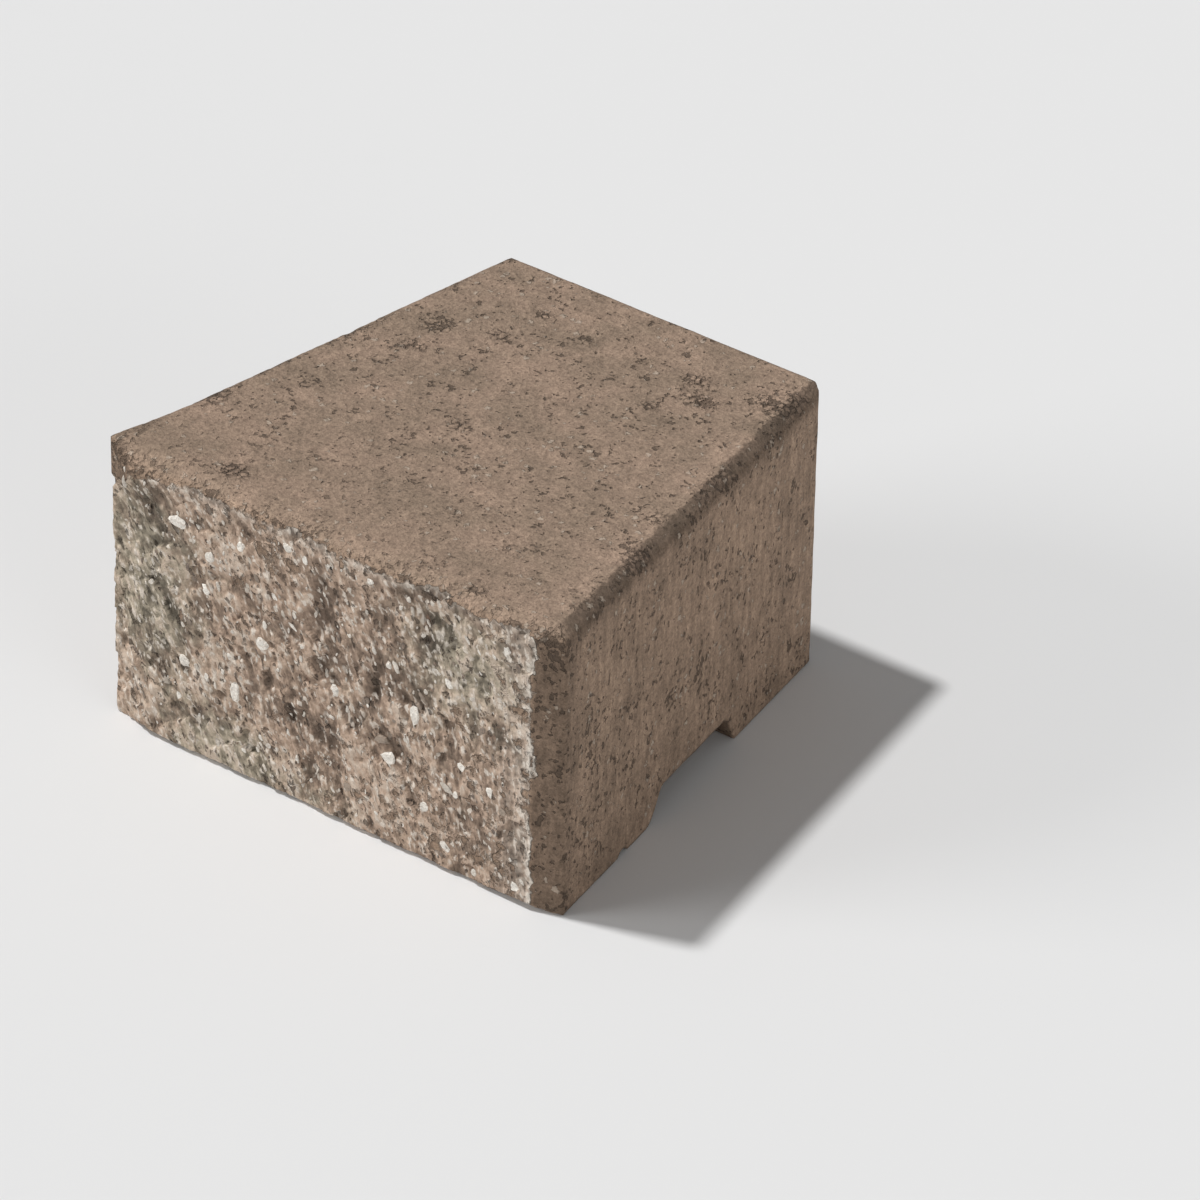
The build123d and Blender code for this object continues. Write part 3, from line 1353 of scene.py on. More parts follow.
class NodeSheet:
    """Adds nodes to one tree. Each call makes a node, fills its inputs and gives back its output."""

    def __init__(self, tree: bpy.types.NodeTree) -> None:
        """Keeps the tree."""
        self.tree = tree

    def fill(self, socket: Socket, value: object) -> None:
        """Links a socket to another, or writes a number, a vector or a colour on it.

        Args:
            socket: the input.
            value: what it gets. None leaves it as it is.
        """
        if isinstance(value, Socket):
            self.tree.links.new(value, socket)
        elif value is not None:
            wants_alpha = socket.type == "RGBA" and len(value) == 3
            socket.default_value = (*value, 1.0) if wants_alpha else value

    def node(self, kind: str, inputs: dict[int | str, object], **settings: object) -> bpy.types.Node:
        """Adds a shader node, sets its options and fills its inputs.

        Args:
            kind: the node's type without its ShaderNode.
            inputs: values or sockets, by the input's number or name.
            settings: the node's options.

        Returns:
            The node.
        """
        made = self.tree.nodes.new("ShaderNode" + kind)
        for name, value in settings.items():
            setattr(made, name, value)
        for name, value in inputs.items():
            self.fill(made.inputs[name], value)
        return made

    def math(self, operation: str, first: object, second: object = None, third: object = None) -> Socket:
        """Works out one number from up to three."""
        return self.node("Math", {0: first, 1: second, 2: third}, operation=operation).outputs[0]

    def total(self, *terms: object) -> Socket:
        """Adds several numbers."""
        return reduce(partial(self.math, "ADD"), terms)

    def times(self, *factors: object) -> Socket:
        """Multiplies several numbers."""
        return reduce(partial(self.math, "MULTIPLY"), factors)

    def most(self, *numbers: object) -> Socket:
        """The largest of several numbers."""
        return reduce(partial(self.math, "MAXIMUM"), numbers)

    def vector(self, operation: str, first: object, second: object) -> Socket:
        """Works out a vector from two."""
        return self.node("VectorMath", {0: first, 1: second}, operation=operation).outputs[0]

    def scaled(self, vector: object, factor: object) -> Socket:
        """Multiplies a colour or a place by a number."""
        return self.node("VectorMath", {0: vector, "Scale": factor}, operation="SCALE").outputs[0]

    def mix(self, share: object, first: object, second: object) -> Socket:
        """Mixes two colours."""
        return self.node("Mix", {0: share, 6: first, 7: second}, data_type="RGBA").outputs[2]

    def mix_numbers(self, share: object, first: object, second: object) -> Socket:
        """Mixes two numbers."""
        return self.node("Mix", {0: share, 2: first, 3: second}, data_type="FLOAT").outputs[0]

    def along(self, value: object, ramp: Ramp) -> Socket:
        """Carries a number along a ramp."""
        numbers = dict(enumerate((value, *ramp)))
        return self.node("MapRange", numbers, interpolation_type="SMOOTHSTEP").outputs[0]

    def noise(self, place: object, noise: Noise) -> Socket:
        """Noise over a place.

        Args:
            place: where it is looked up, in metres.
            noise: its lengths, detail and roughness.

        Returns:
            Numbers from 0 to 1, most of them near a half.
        """
        length = noise.length
        lengths = length if isinstance(length, tuple) else (length, length, length)
        place = self.vector("MULTIPLY", place, tuple(1.0 / size for size in lengths))
        inputs = {"Vector": place, "Scale": 1.0, "Detail": noise.detail, "Roughness": noise.roughness}
        return self.node("TexNoise", inputs).outputs["Fac"]

    def swing(self, value: object, amount: float) -> Socket:
        """Turns noise about a half into a factor about one: 1 plus the amount times twice the rest."""
        return self.math("MULTIPLY_ADD", value, 2.0 * amount, 1.0 - amount)

    def painted(self, name: str, output: str = "Fac") -> Socket:
        """Reads a number, or with the output Vector a place, that the mesh carries at each vertex."""
        return self.node("Attribute", {}, attribute_name=name).outputs[output]

    def ragged(self, name: str, place: Socket, noise: Noise) -> Socket:
        """Reads a painted number and swings it by noise, which makes its borders ragged.

        Args:
            name: the painted number's name.
            place: where the noise is looked up, in metres.
            noise: the noise. Its rise is the whole swing.

        Returns:
            The number, with a swing of 0 on average.
        """
        wander = self.times(self.noise(place, noise), noise.rise)
        return self.total(self.painted(name), wander, -0.5 * noise.rise)

    def group(self, tree: bpy.types.NodeTree, **inputs: object) -> bpy.types.NodeOutputs:
        """Places a node group, fills its inputs by name and gives back its outputs."""
        return self.node("Group", inputs, node_tree=tree).outputs


class Groups:
    """Effects that several finishes share, each built once as a node group."""

    spot_waves = 2.6  # of the noise that bends the strewn spots, to a cell
    spot_spread = 0.45  # swing of the spots' radius
    spot_border = Ramp(0.0, 0.35)  # share of the radius over which a spot fades
    grain_waves = 1.7  # of the noise that bends the broken grains, to a cell
    grain_flank = Ramp(0.80, 0.38)  # distance from the seed over which a grain rises
    coarse_grit = Noise(1.0, 1.0, 0.5, rise=1.1)
    fine_grit = Noise(0.47, 2.0, 0.6, rise=0.9)
    grit_height = 2.0
    grit_tone = 3.0
    darkest_grit = 0.2

    def __init__(self) -> None:
        """Builds the groups."""
        self.spots = self.build_spots()
        self.grit = self.build_grit()
        self.grains = self.build_grains()

    def start(
        self, name: str, inputs: tuple[str, ...], outputs: tuple[str, ...]
    ) -> tuple[NodeSheet, bpy.types.NodeOutputs, bpy.types.NodeInputs]:
        """Starts a group that takes a place and some numbers.

        Args:
            name: the group's name.
            inputs: names of the numbers that it takes.
            outputs: names of the numbers that it gives.

        Returns:
            A sheet for its nodes, what is given to it, and the sockets of its results.
        """
        tree = bpy.data.node_groups.new(name, "ShaderNodeTree")
        tree.interface.new_socket("Place", in_out="INPUT", socket_type="NodeSocketVector")
        for direction, names in (("INPUT", inputs), ("OUTPUT", outputs)):
            for number in names:
                tree.interface.new_socket(number, in_out=direction, socket_type="NodeSocketFloat")
        given = tree.nodes.new("NodeGroupInput")
        return NodeSheet(tree), given.outputs, tree.nodes.new("NodeGroupOutput").inputs

    def nearest_seed(
        self, sheet: NodeSheet, given: bpy.types.NodeOutputs, waves: float
    ) -> tuple[Socket, bpy.types.NodeOutputs]:
        """Bends the place by noise and finds the nearest of the seeds, one of which is in each cell.

        Args:
            sheet: the group's sheet.
            given: the group's Place, Cells and Bend.
            waves: how many waves of the bending noise there are to a cell.

        Returns:
            Distance to the seed, in cells, and the seed's three random numbers.
        """
        cells = sheet.scaled(given["Place"], given["Cells"])
        bending = sheet.node("TexNoise", {"Vector": cells, "Scale": waves, "Detail": 1.0})
        off_centre = sheet.vector("SUBTRACT", bending.outputs["Color"], (0.5, 0.5, 0.5))
        bent = sheet.vector("ADD", cells, sheet.scaled(off_centre, given["Bend"]))
        seed = sheet.node("TexVoronoi", {"Vector": bent, "Scale": 1.0}).outputs
        return seed["Distance"], sheet.node("SeparateColor", {0: seed["Color"]}).outputs

    def build_spots(self) -> bpy.types.NodeTree:
        """Ragged spots strewn through space.

        A cell holds a spot if its random number is under the share. The distance to its seed is compared
        with the radius in cells, which a second random number swings.

        Returns:
            The group, with the outputs Mask and Random.
        """
        numbers = ("Cells", "Share", "Radius", "Bend")
        sheet, given, result = self.start("strewn_spots", numbers, ("Mask", "Random"))
        distance, draws = self.nearest_seed(sheet, given, self.spot_waves)
        chosen = sheet.math("LESS_THAN", draws[0], given["Share"])
        size = sheet.times(given["Radius"], sheet.swing(draws[1], self.spot_spread))
        nearness = sheet.math("DIVIDE", sheet.math("SUBTRACT", size, distance), size)
        sheet.fill(result["Mask"], sheet.times(chosen, sheet.along(nearness, self.spot_border)))
        sheet.fill(result["Random"], draws[2])
        return sheet.tree

    def build_grit(self) -> bpy.types.NodeTree:
        """Sandy grain: two noises, one half as long as the other, as height and as light and dark.

        Returns:
            The group, with the outputs Height, mostly from -1 to 1, and Tone, a factor about 1.
        """
        sheet, given, result = self.start("sandy_grit", ("Grains", "Contrast"), ("Height", "Tone"))
        grains = sheet.scaled(given["Place"], given["Grains"])
        layers = [sheet.times(sheet.noise(grains, n), n.rise) for n in (self.coarse_grit, self.fine_grit)]
        both = sheet.total(*layers, -1.0)
        sheet.fill(result["Height"], sheet.times(both, self.grit_height))
        spread = sheet.times(both, self.grit_tone, given["Contrast"])
        sheet.fill(result["Tone"], sheet.most(sheet.total(spread, 1.0), self.darkest_grit))
        return sheet.tree

    def build_grains(self) -> bpy.types.NodeTree:
        """Broken grains packed side by side: each has a tone of its own and stands up to a flat top.

        The nearest seed gives the tone, and the distance to it, turned over and cut off, the height.

        Returns:
            The group, with the outputs Height and Random, both from 0 to 1.
        """
        sheet, given, result = self.start("broken_grains", ("Cells", "Bend"), ("Height", "Random"))
        distance, draws = self.nearest_seed(sheet, given, self.grain_waves)
        sheet.fill(result["Height"], sheet.along(distance, self.grain_flank))
        sheet.fill(result["Random"], draws[0])
        return sheet.tree


class Surface(NamedTuple):
    """What a part of a finish gives: its colour, and its height in millimetres."""

    colour: Socket
    height: Socket


@dataclass(frozen=True)
class Desk:
    """Where a finish is worked out: the material's sheet, the shared groups and the place in metres."""

    sheet: NodeSheet
    groups: Groups
    place: Socket

    def spots(self, place: Socket, spots: Strewn, share: object = None) -> bpy.types.NodeOutputs:
        """Strews spots over a place.

        Args:
            place: where they are looked up, in metres.
            spots: what they are like.
            share: takes the place of their own share.

        Returns:
            The outputs Mask and Random.
        """
        share = spots.share if share is None else share
        return self.sheet.group(
            self.groups.spots,
            Place=place, Cells=1.0 / spots.cell, Share=share, Radius=spots.radius, Bend=spots.bend,
        )

    def grains(self, place: Socket, cell: float, bend: float) -> bpy.types.NodeOutputs:
        """Packs broken grains over a place."""
        return self.sheet.group(self.groups.grains, Place=place, Cells=1.0 / cell, Bend=bend)

    def grit(self, grit: Grit) -> bpy.types.NodeOutputs:
        """Covers the object with sandy grain."""
        grains = 1.0 / grit.length
        return self.sheet.group(self.groups.grit, Place=self.place, Grains=grains, Contrast=grit.contrast)


def make_material(
    name: str, groups: Groups, give: Callable[[Desk], Surface], roughness: float, specular: float
) -> bpy.types.Material:
    """Makes a material whose colour and bump come from a surface.

    Args:
        name: the material's name.
        groups: shared effects.
        give: works the surface out.
        roughness: the shader's roughness.
        specular: the shader's specular level.

    Returns:
        The material.
    """
    material = bpy.data.materials.new(name)
    material.use_nodes = True
    sheet = NodeSheet(material.node_tree)
    place = sheet.node("TexCoord", {}).outputs["Object"]
    surface = give(Desk(sheet, groups, place))
    bump = sheet.node("Bump", {"Height": surface.height, "Distance": MM})
    shader = material.node_tree.nodes["Principled BSDF"]
    sheet.fill(shader.inputs["Base Color"], surface.colour)
    sheet.fill(shader.inputs["Normal"], bump.outputs[0])
    shader.inputs["Roughness"].default_value = roughness
    shader.inputs["Specular IOR Level"].default_value = specular
    return material


@dataclass(frozen=True)
class SkinFinish:
    """The moulded skin: soft patches, sandy grain, drag streaks on walls, specks, voids and flecks.

    Specks, voids and the gaps between crumbs are darkened with painted shade, and so are the notch
    strips and, together with the crumbled edge, the band under the side arrises.
    """

    olive_tan: Colour = (0.292, 0.217, 0.158)
    pink_brown: Colour = (0.301, 0.212, 0.158)
    wall_brown: Colour = (0.305, 0.214, 0.152)
    pale_fleck: Colour = (0.570, 0.475, 0.385)
    # painted shade: colour of the specks, voids, pocks and gaps between crumbs
    void_painted_shade: Colour = (0.062, 0.045, 0.033)
    pink_share: Ramp = Ramp(0.30, 0.70, 0.2, 0.8)
    wall_share: float = 0.8
    broad: Noise = Noise(0.030, 3.0, 0.6, tone=0.42)
    lumps: Noise = Noise(0.0095, 2.0, 0.55, tone=0.22, rise=1.0)
    mottle: Noise = Noise(0.0036, 3.0, 0.62, tone=0.42, rise=1.35)
    streaks: Noise = Noise((0.0034, 0.0034, 0.022), 3.0, 0.58, tone=0.50, rise=0.70)
    grit: Grit = Grit(0.0015, 0.24, 0.22)
    # painted shade: the notch strips are darker, as if shaded by the torn face before them
    strip_painted_shade: float = 0.67
    brow_light: float = 0.24  # how much brighter it is over the torn face
    arris_wander: Noise = Noise(0.0065, 3.0, 0.62, rise=9.0)
    # painted shade, together with the crumbled edge, in the band under the side arris
    arris_crumble_and_shade: float = -0.42
    arris_crumble_and_shade_ramps: tuple[Ramp, Ramp] = (Ramp(-14.0, -3.0), Ramp(7.6, 5.6))  # millimetres past the arris
    arris_light: float = 0.07
    arris_light_ramps: tuple[Ramp, Ramp] = (Ramp(6.0, 8.5), Ramp(20.0, 11.0))
    flecks: Strewn = Strewn(0.0046, 0.26, 0.29, 0.9)
    fleck_strength: float = 0.50
    fleck_rise: float = 0.65
    brow_flecks: float = 0.60  # added to their share over the torn face
    stretch: Triple = (1.0, 1.0, 0.62)  # makes specks and pocks taller than wide
    specks: Strewn = Strewn(0.0033, 0.24, 0.23, 0.45)
    pocks: Strewn = Strewn(0.0075, 0.24, 0.21, 1.3)
    clusters: Noise = Noise(0.017, 2.0, 0.5)
    gathering: Ramp = Ramp(0.36, 0.62, 0.25, 0.90)  # of specks, by the clusters
    brow_specks: float = 0.15
    pits: Noise = Noise(0.0032, 2.0, 0.60)
    pit_edge: Ramp = Ramp(0.640, 0.735)
    pit_start: float = -0.20  # added to the pits' noise, like each mask times its number below
    pits_in_clusters: float = 0.40
    pits_in_crumble: float = 0.10
    pits_on_walls: float = 0.015
    pits_on_brow: float = 0.05
    pits_on_strip: float = 0.045
    brow_crumble: float = 0.42
    crumbled: Ramp = Ramp(0.2, 0.9)
    crumb_cell: float = 0.0025
    crumb_bend: float = 0.8
    crumb_tone: float = 0.32
    crumb_rise: float = 1.1
    crumb_gap: Ramp = Ramp(0.50, 0.15)
    void_shade_strength: float = 0.68
    dark_rise: float = -1.25

    def arris_tone(self, desk: Desk) -> Socket:
        """Factor for the side arris: 1 away from it, less on its dark band and a little more on a paler band
        inside it on the top.

        The dark band is partly the crumbled edge and partly painted shade away from the key lamp. The
        painted distance past the arris is bent by noise, so that both borders of the band are ragged. The
        border on the top face is crisp, and the one on the side is soft.

        Args:
            desk: where the finish is worked out.

        Returns:
            The factor for the skin's colour.
        """
        sheet = desk.sheet
        past = sheet.ragged("arris", desk.place, self.arris_wander)
        dark = sheet.times(*(sheet.along(past, ramp) for ramp in self.arris_crumble_and_shade_ramps))
        light = sheet.times(*(sheet.along(past, ramp) for ramp in self.arris_light_ramps))
        change = sheet.total(sheet.times(dark, self.arris_crumble_and_shade), sheet.times(light, self.arris_light))
        return sheet.total(sheet.times(change, sheet.painted("arris_share")), 1.0)

    def surface(self, desk: Desk) -> Surface:
        """Works out the skin.

        Args:
            desk: where the finish is worked out.

        Returns:
            Colour and height of the skin.
        """
        sheet, place = desk.sheet, desk.place
        wall, strip, brow, rough = (sheet.painted(name) for name in ("wall", "strip", "brow", "rough"))
        crumble = sheet.total(sheet.painted("crumble"), sheet.times(brow, self.brow_crumble))
        broad, lumps, mottle, streaks, clusters, pits = (
            sheet.noise(place, noise)
            for noise in (self.broad, self.lumps, self.mottle, self.streaks, self.clusters, self.pits)
        )
        grit = desk.grit(self.grit)
        colour = sheet.mix(sheet.along(broad, self.pink_share), self.olive_tan, self.pink_brown)
        colour = sheet.mix(sheet.times(wall, self.wall_share), colour, self.wall_brown)
        patches = sheet.times(sheet.swing(lumps, self.lumps.tone), sheet.swing(broad, self.broad.tone))
        tone = sheet.times(
            sheet.swing(mottle, self.mottle.tone),
            grit["Tone"],
            patches,
            sheet.mix_numbers(wall, 1.0, sheet.swing(streaks, self.streaks.tone)),
            sheet.mix_numbers(strip, 1.0, self.strip_painted_shade),
            self.arris_tone(desk),
            sheet.total(sheet.times(brow, self.brow_light), 1.0),
        )
        colour = sheet.scaled(colour, tone)
        fleck_share = sheet.total(sheet.times(brow, self.brow_flecks), self.flecks.share)
        flecks = desk.spots(place, self.flecks, fleck_share)["Mask"]
        colour = sheet.mix(sheet.times(flecks, self.fleck_strength), colour, self.pale_fleck)
        stretched = sheet.vector("MULTIPLY", place, self.stretch)
        specks, pocks = (desk.spots(stretched, spots)["Mask"] for spots in (self.specks, self.pocks))
        gathered = sheet.times(sheet.along(clusters, self.gathering), rough)
        gathered = sheet.total(gathered, sheet.times(brow, self.brow_specks))
        amount = sheet.total(
            pits,
            sheet.times(clusters, self.pits_in_clusters),
            sheet.times(crumble, self.pits_in_crumble),
            self.pit_start,
            sheet.times(wall, self.pits_on_walls),
            sheet.times(brow, self.pits_on_brow),
            sheet.times(strip, self.pits_on_strip),
        )
        voids = sheet.times(sheet.along(amount, self.pit_edge), rough)
        voids = sheet.most(voids, sheet.times(pocks, rough))
        crumbs = desk.grains(place, self.crumb_cell, self.crumb_bend)
        crumbled = sheet.along(crumble, self.crumbled)
        gaps = sheet.times(sheet.along(crumbs["Height"], self.crumb_gap), crumbled)
        crumb_tone = sheet.mix_numbers(crumbled, 1.0, sheet.swing(crumbs["Random"], self.crumb_tone))
        colour = sheet.scaled(colour, crumb_tone)
        # painted shade in the specks, voids, pocks and the gaps between crumbs
        dark = sheet.most(sheet.times(specks, gathered), voids, gaps)
        colour = sheet.mix(sheet.times(dark, self.void_shade_strength), colour, self.void_painted_shade)
        height = sheet.total(
            sheet.times(grit["Height"], self.grit.rise),
            sheet.times(mottle, self.mottle.rise),
            sheet.times(lumps, self.lumps.rise),
            sheet.times(wall, streaks, self.streaks.rise),
            sheet.times(dark, self.dark_rise),
            sheet.times(flecks, self.fleck_rise),
            sheet.times(crumble, crumbs["Height"], self.crumb_rise),
        )
        return Surface(colour, height)


@dataclass(frozen=True)
class TearFinish:
    """The torn face: brown and grey matrix in leaning fibres, broken grains and pale edges.

    Painted shade darkens its crevices, pits and hollows, and painted highlight pales its crests and
    what stands out. The pale edges are crushed matrix with painted highlight.
    """

    brown: Colour = (0.432, 0.314, 0.236)
    grey: Colour = (0.398, 0.344, 0.262)
    cream: Colour = (0.600, 0.490, 0.395)
    brow_tan: Colour = (0.390, 0.300, 0.236)
    pale: Colour = (0.800, 0.725, 0.635)
    # painted shade of the crevices and pits
    dark: Colour = (0.085, 0.064, 0.049)
    rust: Colour = (0.250, 0.155, 0.110)
    breaking: Noise = Noise(0.009, 3.0, 0.65, rise=1.6)  # makes the grey patches' borders ragged
    grey_edge: Ramp = Ramp(0.0, 1.0)
    fibres: Noise = Noise((0.0022, 0.0036, 0.0078), 1.0, 0.55, rise=1.4)
    lumps: Noise = Noise(0.0046, 1.0, 0.55, rise=2.0)
    clumps: Noise = Noise((0.0072, 0.0080, 0.0140), 2.0, 0.58, tone=1.0, rise=4.2)
    broad: Noise = Noise(0.022, 2.0, 0.55, tone=1.05)
    grit: Grit = Grit(0.0015, 0.10, 0.12)
    stretch: Triple = (1.0, 1.0, 0.70)  # makes grains, stones and pits longer along the grain
    grain_cell: float = 0.0022
    grain_bend: float = 0.9
    grain_tone: float = 0.10
    grain_rise: float = 0.32
    grain_step: float = 0.25
    brow_share: Ramp = Ramp(0.35, 0.55)
    # painted shade in the hollows and painted highlight where the face stands out
    hollow_shade_and_highlight: Ramp = Ramp(-2.2, 2.4, 1.36, 0.44)  # by the millimetres that the face lies in
    fibre_tone: Ramp = Ramp(0.30, 0.68, 0.79, 1.20)
    lump_tone: Ramp = Ramp(0.31, 0.67, 0.75, 1.23)
    brightest: float = 1.28
    cream_share: Ramp = Ramp(0.95, 2.0, 0.0, 0.85)  # by the brightness that is cut off
    lit_grains: Ramp = Ramp(0.84, 0.90)
    lit_lumps: Ramp = Ramp(0.36, 0.52)
    lit_strength: float = 0.78
    # painted highlight on the crests
    crests: Ramp = Ramp(1.12, 1.30)  # of fibres and lumps together
    crest_highlight_strength: float = 0.60
    stones: Strewn = Strewn(0.0042, 0.20, 0.27, 1.1)
    pale_stones: Ramp = Ramp(0.34, 0.40)
    stone_strength: float = 0.60
    pits: Strewn = Strewn(0.0062, 0.26, 0.27, 1.3)
    crevices: Noise = Noise((0.0034, 0.0040, 0.0056), 2.0, 0.60, rise=-1.6)
    crevice_edge: Ramp = Ramp(0.605, 0.70)
    crevice_shade_strength: float = 0.70
    crushed_and_highlight_share: Ramp = Ramp(0.36, 0.54, 0.30, 1.0)

    def surface(self, desk: Desk) -> Surface:
        """Works out the tear.

        Args:
            desk: where the finish is worked out.

        Returns:
            Colour and height of the tear.
        """
        sheet, place = desk.sheet, desk.place
        grain = sheet.painted("grain", "Vector")
        lumps, broad = sheet.noise(place, self.lumps), sheet.noise(place, self.broad)
        fibres, clumps, crevices = (
            sheet.noise(grain, noise) for noise in (self.fibres, self.clumps, self.crevices)
        )
        packed = sheet.vector("MULTIPLY", grain, self.stretch)
        grains = desk.grains(packed, self.grain_cell, self.grain_bend)
        grit = desk.grit(self.grit)
        grey_share = sheet.along(sheet.ragged("grey", place, self.breaking), self.grey_edge)
        colour = sheet.mix(grey_share, self.brown, self.grey)
        on_brow = sheet.times(sheet.painted("brow"), sheet.along(broad, self.brow_share))
        colour = sheet.mix(on_brow, colour, self.brow_tan)
        patches = sheet.times(sheet.swing(clumps, self.clumps.tone), sheet.swing(broad, self.broad.tone))
        tone = sheet.times(
            sheet.along(fibres, self.fibre_tone),
            sheet.along(lumps, self.lump_tone),
            patches,
            sheet.swing(grains["Random"], self.grain_tone),
            grit["Tone"],
            sheet.along(sheet.painted("hollow"), self.hollow_shade_and_highlight),
        )
        colour = sheet.scaled(colour, sheet.math("MINIMUM", tone, self.brightest))
        colour = sheet.mix(sheet.along(tone, self.cream_share), colour, self.cream)
        lit = sheet.times(
            sheet.along(grains["Random"], self.lit_grains),
            grains["Height"],
            sheet.along(lumps, self.lit_lumps),
        )
        # painted highlight: the crests of fibres and lumps are mixed towards pale
        crests = sheet.along(sheet.total(fibres, lumps), self.crests)
        bright = sheet.most(sheet.times(crests, self.crest_highlight_strength), sheet.times(lit, self.lit_strength))
        colour = sheet.mix(bright, colour, self.pale)
        stones = desk.spots(packed, self.stones)
        stone_colour = sheet.mix(sheet.along(stones["Random"], self.pale_stones), self.rust, self.pale)
        colour = sheet.mix(sheet.times(stones["Mask"], self.stone_strength), colour, stone_colour)
        # painted shade: crevices and pits are mixed towards dark
        open_crevices = sheet.along(crevices, self.crevice_edge)
        hollows = sheet.most(open_crevices, desk.spots(packed, self.pits)["Mask"])
        colour = sheet.mix(sheet.times(hollows, self.crevice_shade_strength), colour, self.dark)
        # crushed pale matrix, and painted highlight where the rims catch the light
        crushed_and_highlight = sheet.times(sheet.painted("edge"), sheet.along(lumps, self.crushed_and_highlight_share))
        colour = sheet.mix(crushed_and_highlight, colour, self.pale)
        height = sheet.total(
            sheet.times(fibres, self.fibres.rise),
            sheet.times(lumps, self.lumps.rise),
            sheet.times(clumps, self.clumps.rise),
            sheet.times(grains["Height"], self.grain_rise),
            sheet.times(grains["Random"], self.grain_step),
            sheet.times(grit["Height"], self.grit.rise),
            sheet.times(hollows, self.crevices.rise),
        )
        return Surface(colour, height)


@dataclass(frozen=True)
class ConcreteFinish:
    """Dry-cast concrete: the skin, the tear, and a crisp ragged border where the two meet."""

    skin: SkinFinish = SkinFinish()
    tear: TearFinish = TearFinish()
    border: Noise = Noise(0.0060, 3.0, 0.62, rise=3.2)
    border_edge: Ramp = Ramp(-0.15, 0.40)
    roughness: float = 0.92
    specular: float = 0.20

    def meeting(self, desk: Desk) -> Surface:
        """Skin and tear together, mixed by the painted mask, whose border noise makes ragged.

        Args:
            desk: where the finish is worked out.

        Returns:
            Colour and height of the border.
        """
        sheet = desk.sheet
        torn = sheet.along(sheet.ragged("bare", desk.place, self.border), self.border_edge)
        skin, tear = self.skin.surface(desk), self.tear.surface(desk)
        colour = sheet.mix(torn, skin.colour, tear.colour)
        return Surface(colour, sheet.mix_numbers(torn, skin.height, tear.height))

    def make(self, groups: Groups, coat: Coat) -> bpy.types.Material:
        """Builds the material of one coat: skin, tear, or where the two meet."""
        surfaces = {Coat.SKIN: self.skin.surface, Coat.TEAR: self.tear.surface, Coat.BORDER: self.meeting}
        return make_material(coat.finish_name, groups, surfaces[coat], self.roughness, self.specular)


@dataclass(frozen=True)
class StoneFinish:
    """Broken stone: two colours by the stone's own tone, a mottle, cement dust and fine grain."""

    name: str
    first: Colour
    second: Colour
    roughness: float
    specular: float = 0.4
    mottle: Noise = Noise(0.0019, 3.0, 0.65, tone=0.45, rise=0.9)
    grit: Grit = Grit(0.0009, 0.12, 0.14)
    dust: Noise = Noise(0.0017, 3.0, 0.66)
    dust_edge: Ramp = Ramp(0.52, 0.62)
    dust_strength: float = 0.40

    def surface(self, desk: Desk) -> Surface:
        """Works out the stone.

        Args:
            desk: where the finish is worked out.

        Returns:
            Colour and height of the stone.
        """
        sheet = desk.sheet
        mottle = sheet.noise(desk.place, self.mottle)
        grit = desk.grit(self.grit)
        colour = sheet.mix(sheet.painted("tone"), self.first, self.second)
        tone = sheet.times(sheet.swing(mottle, self.mottle.tone), grit["Tone"])
        dust = sheet.along(sheet.noise(desk.place, self.dust), self.dust_edge)
        dust = sheet.times(dust, self.dust_strength)
        colour = sheet.mix(dust, sheet.scaled(colour, tone), TearFinish.brown)
        grain = sheet.times(grit["Height"], self.grit.rise)
        return Surface(colour, sheet.total(grain, sheet.times(mottle, self.mottle.rise)))

    def make(self, groups: Groups) -> bpy.types.Material:
        """Builds the material."""
        return make_material(self.name, groups, self.surface, self.roughness, self.specular)


STONE_FINISHES = {
    Kind.QUARTZ: StoneFinish("pale_quartz", (0.92, 0.87, 0.79), (0.50, 0.44, 0.37), 0.62),
    Kind.GRAVEL: StoneFinish("brown_gravel", (0.36, 0.29, 0.23), (0.16, 0.125, 0.10), 0.78),
}


@dataclass(frozen=True)
class Lamp:
    """A far lamp: the way towards it, its strength and how wide it looks, in degrees."""

    name: str
    towards: Triple
    strength: float
    breadth: float


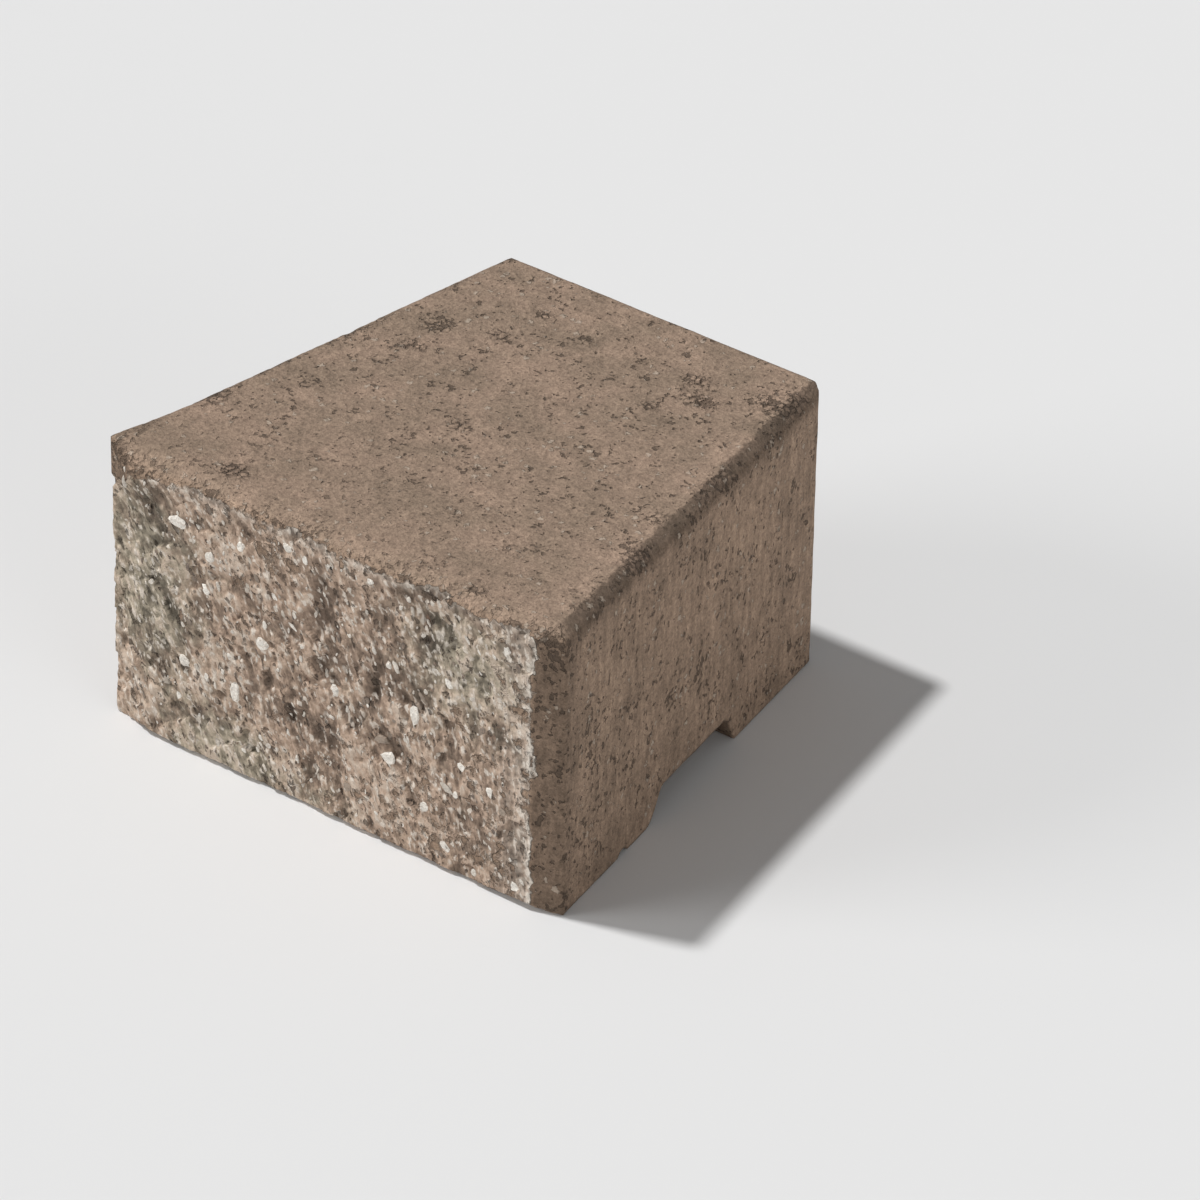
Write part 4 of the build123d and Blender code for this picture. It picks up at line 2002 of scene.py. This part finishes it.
@dataclass(frozen=True)
class Studio:
    """Pale floor and soft light, and the camera that the photograph was fitted to."""

    floor_size: float = 30.0
    floor_drop: float = 0.0001
    pale: float = 0.790
    floor_tone: float = 0.776
    sky: float = 0.21
    focal_length: float = 225.2
    sensor: float = 36.0
    azimuth: float = math.radians(37.138)
    elevation: float = math.radians(32.878)
    roll: float = math.radians(1.042)
    aim: Triple = (0.1506, -0.1187, 0.1771)
    distance: float = 3.2746
    lamps: tuple[Lamp, ...] = (
        Lamp("key_lamp", (-0.39, -0.12, 0.91), 2.20, 4.0),
        Lamp("front_fill_lamp", (-0.64, -0.68, 0.36), 1.10, 30.0),
        Lamp("side_fill_lamp", (0.95, -0.25, 0.16), 0.86, 40.0),
    )

    def lay_floor(self) -> None:
        """Lays a wide plain floor just under the block."""
        signs = np.array([[-1.0, -1.0], [1.0, -1.0], [1.0, 1.0], [-1.0, 1.0]])
        corners = np.column_stack([self.floor_size / 2.0 * signs, np.full(4, -self.floor_drop)])
        floor = build_mesh("studio_floor", corners, np.arange(4), np.array([0]), smooth=False)
        material = bpy.data.materials.new("floor_paper")
        material.use_nodes = True
        shader = material.node_tree.nodes["Principled BSDF"]
        shader.inputs["Base Color"].default_value = (self.floor_tone,) * 3 + (1.0,)
        shader.inputs["Roughness"].default_value = 1.0
        shader.inputs["Specular IOR Level"].default_value = 0.0
        floor.data.materials.append(material)

    def hang_lamps(self) -> None:
        """Sets up the lamps: each shines against the way towards it."""
        for lamp in self.lamps:
            light = bpy.data.lights.new(lamp.name, "SUN")
            light.energy = lamp.strength
            light.angle = math.radians(lamp.breadth)
            holder = bpy.data.objects.new(lamp.name, light)
            holder.rotation_mode = "QUATERNION"
            holder.rotation_quaternion = Vector(lamp.towards).to_track_quat("Z", "Y")
            bpy.context.scene.collection.objects.link(holder)

    def light_sky(self) -> None:
        """Lights from all round at the sky's level, and shows the floor's level to the camera."""
        world = bpy.data.worlds.new("studio_sky")
        world.use_nodes = True
        sheet = NodeSheet(world.node_tree)
        world.node_tree.nodes.clear()
        rays = sheet.node("LightPath", {}).outputs
        seen = sheet.most(rays["Is Camera Ray"], rays["Is Glossy Ray"], rays["Is Transmission Ray"])
        level = sheet.mix_numbers(seen, self.sky, self.pale)
        background = sheet.node("Background", {"Color": (1.0, 1.0, 1.0), "Strength": level})
        sheet.node("OutputWorld", {"Surface": background.outputs[0]})
        bpy.context.scene.world = world

    def place_camera(self) -> None:
        """Stands the camera back from its aim by azimuth and elevation, and rolls it a little."""
        level = math.cos(self.elevation)
        back = Vector(
            (math.sin(self.azimuth) * level, -math.cos(self.azimuth) * level, math.sin(self.elevation))
        )
        right = Vector((math.cos(self.azimuth), math.sin(self.azimuth), 0.0))
        right.rotate(Matrix.Rotation(self.roll, 3, back))
        up = back.cross(right)
        camera = bpy.data.cameras.new("camera")
        camera.lens = self.focal_length
        camera.sensor_width = self.sensor
        camera.clip_start = 0.1
        camera.clip_end = 100.0
        holder = bpy.data.objects.new("camera", camera)
        turned = Matrix((right, up, back)).transposed()
        holder.matrix_world = Matrix.Translation(Vector(self.aim) + back * self.distance) @ turned.to_4x4()
        bpy.context.scene.collection.objects.link(holder)
        bpy.context.scene.camera = holder

    def set_up(self) -> None:
        """Sets up floor, lamps, sky, camera and the plain view."""
        self.lay_floor()
        self.hang_lamps()
        self.light_sky()
        self.place_camera()
        bpy.context.scene.view_settings.view_transform = "Standard"


def report(piece: bpy.types.Object) -> None:
    """Logs a piece's name and how many triangles it has."""
    triangles = sum(len(polygon.vertices) - 2 for polygon in piece.data.polygons)
    log.info("%s: %d triangles", piece.name, triangles)


def main() -> None:
    """Builds the block, sets its stones, dresses them and sets up the studio."""
    logging.basicConfig(level=logging.INFO, format="%(name)s: %(message)s")
    groups = Groups()
    body = BlockBody(*(np.array(corner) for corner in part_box(NODE)))
    block = body.build()
    for coat in Coat:
        block.data.materials.append(ConcreteFinish().make(groups, coat))
    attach(block, BODY)
    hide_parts(NODE)
    report(block)
    for kind in Kind:
        chips = ChipBed(kind, body).build()
        chips.data.materials.append(STONE_FINISHES[kind].make(groups))
        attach(chips, BODY)
        report(chips)
    Studio().set_up()


if __name__ == "__main__":
    main()
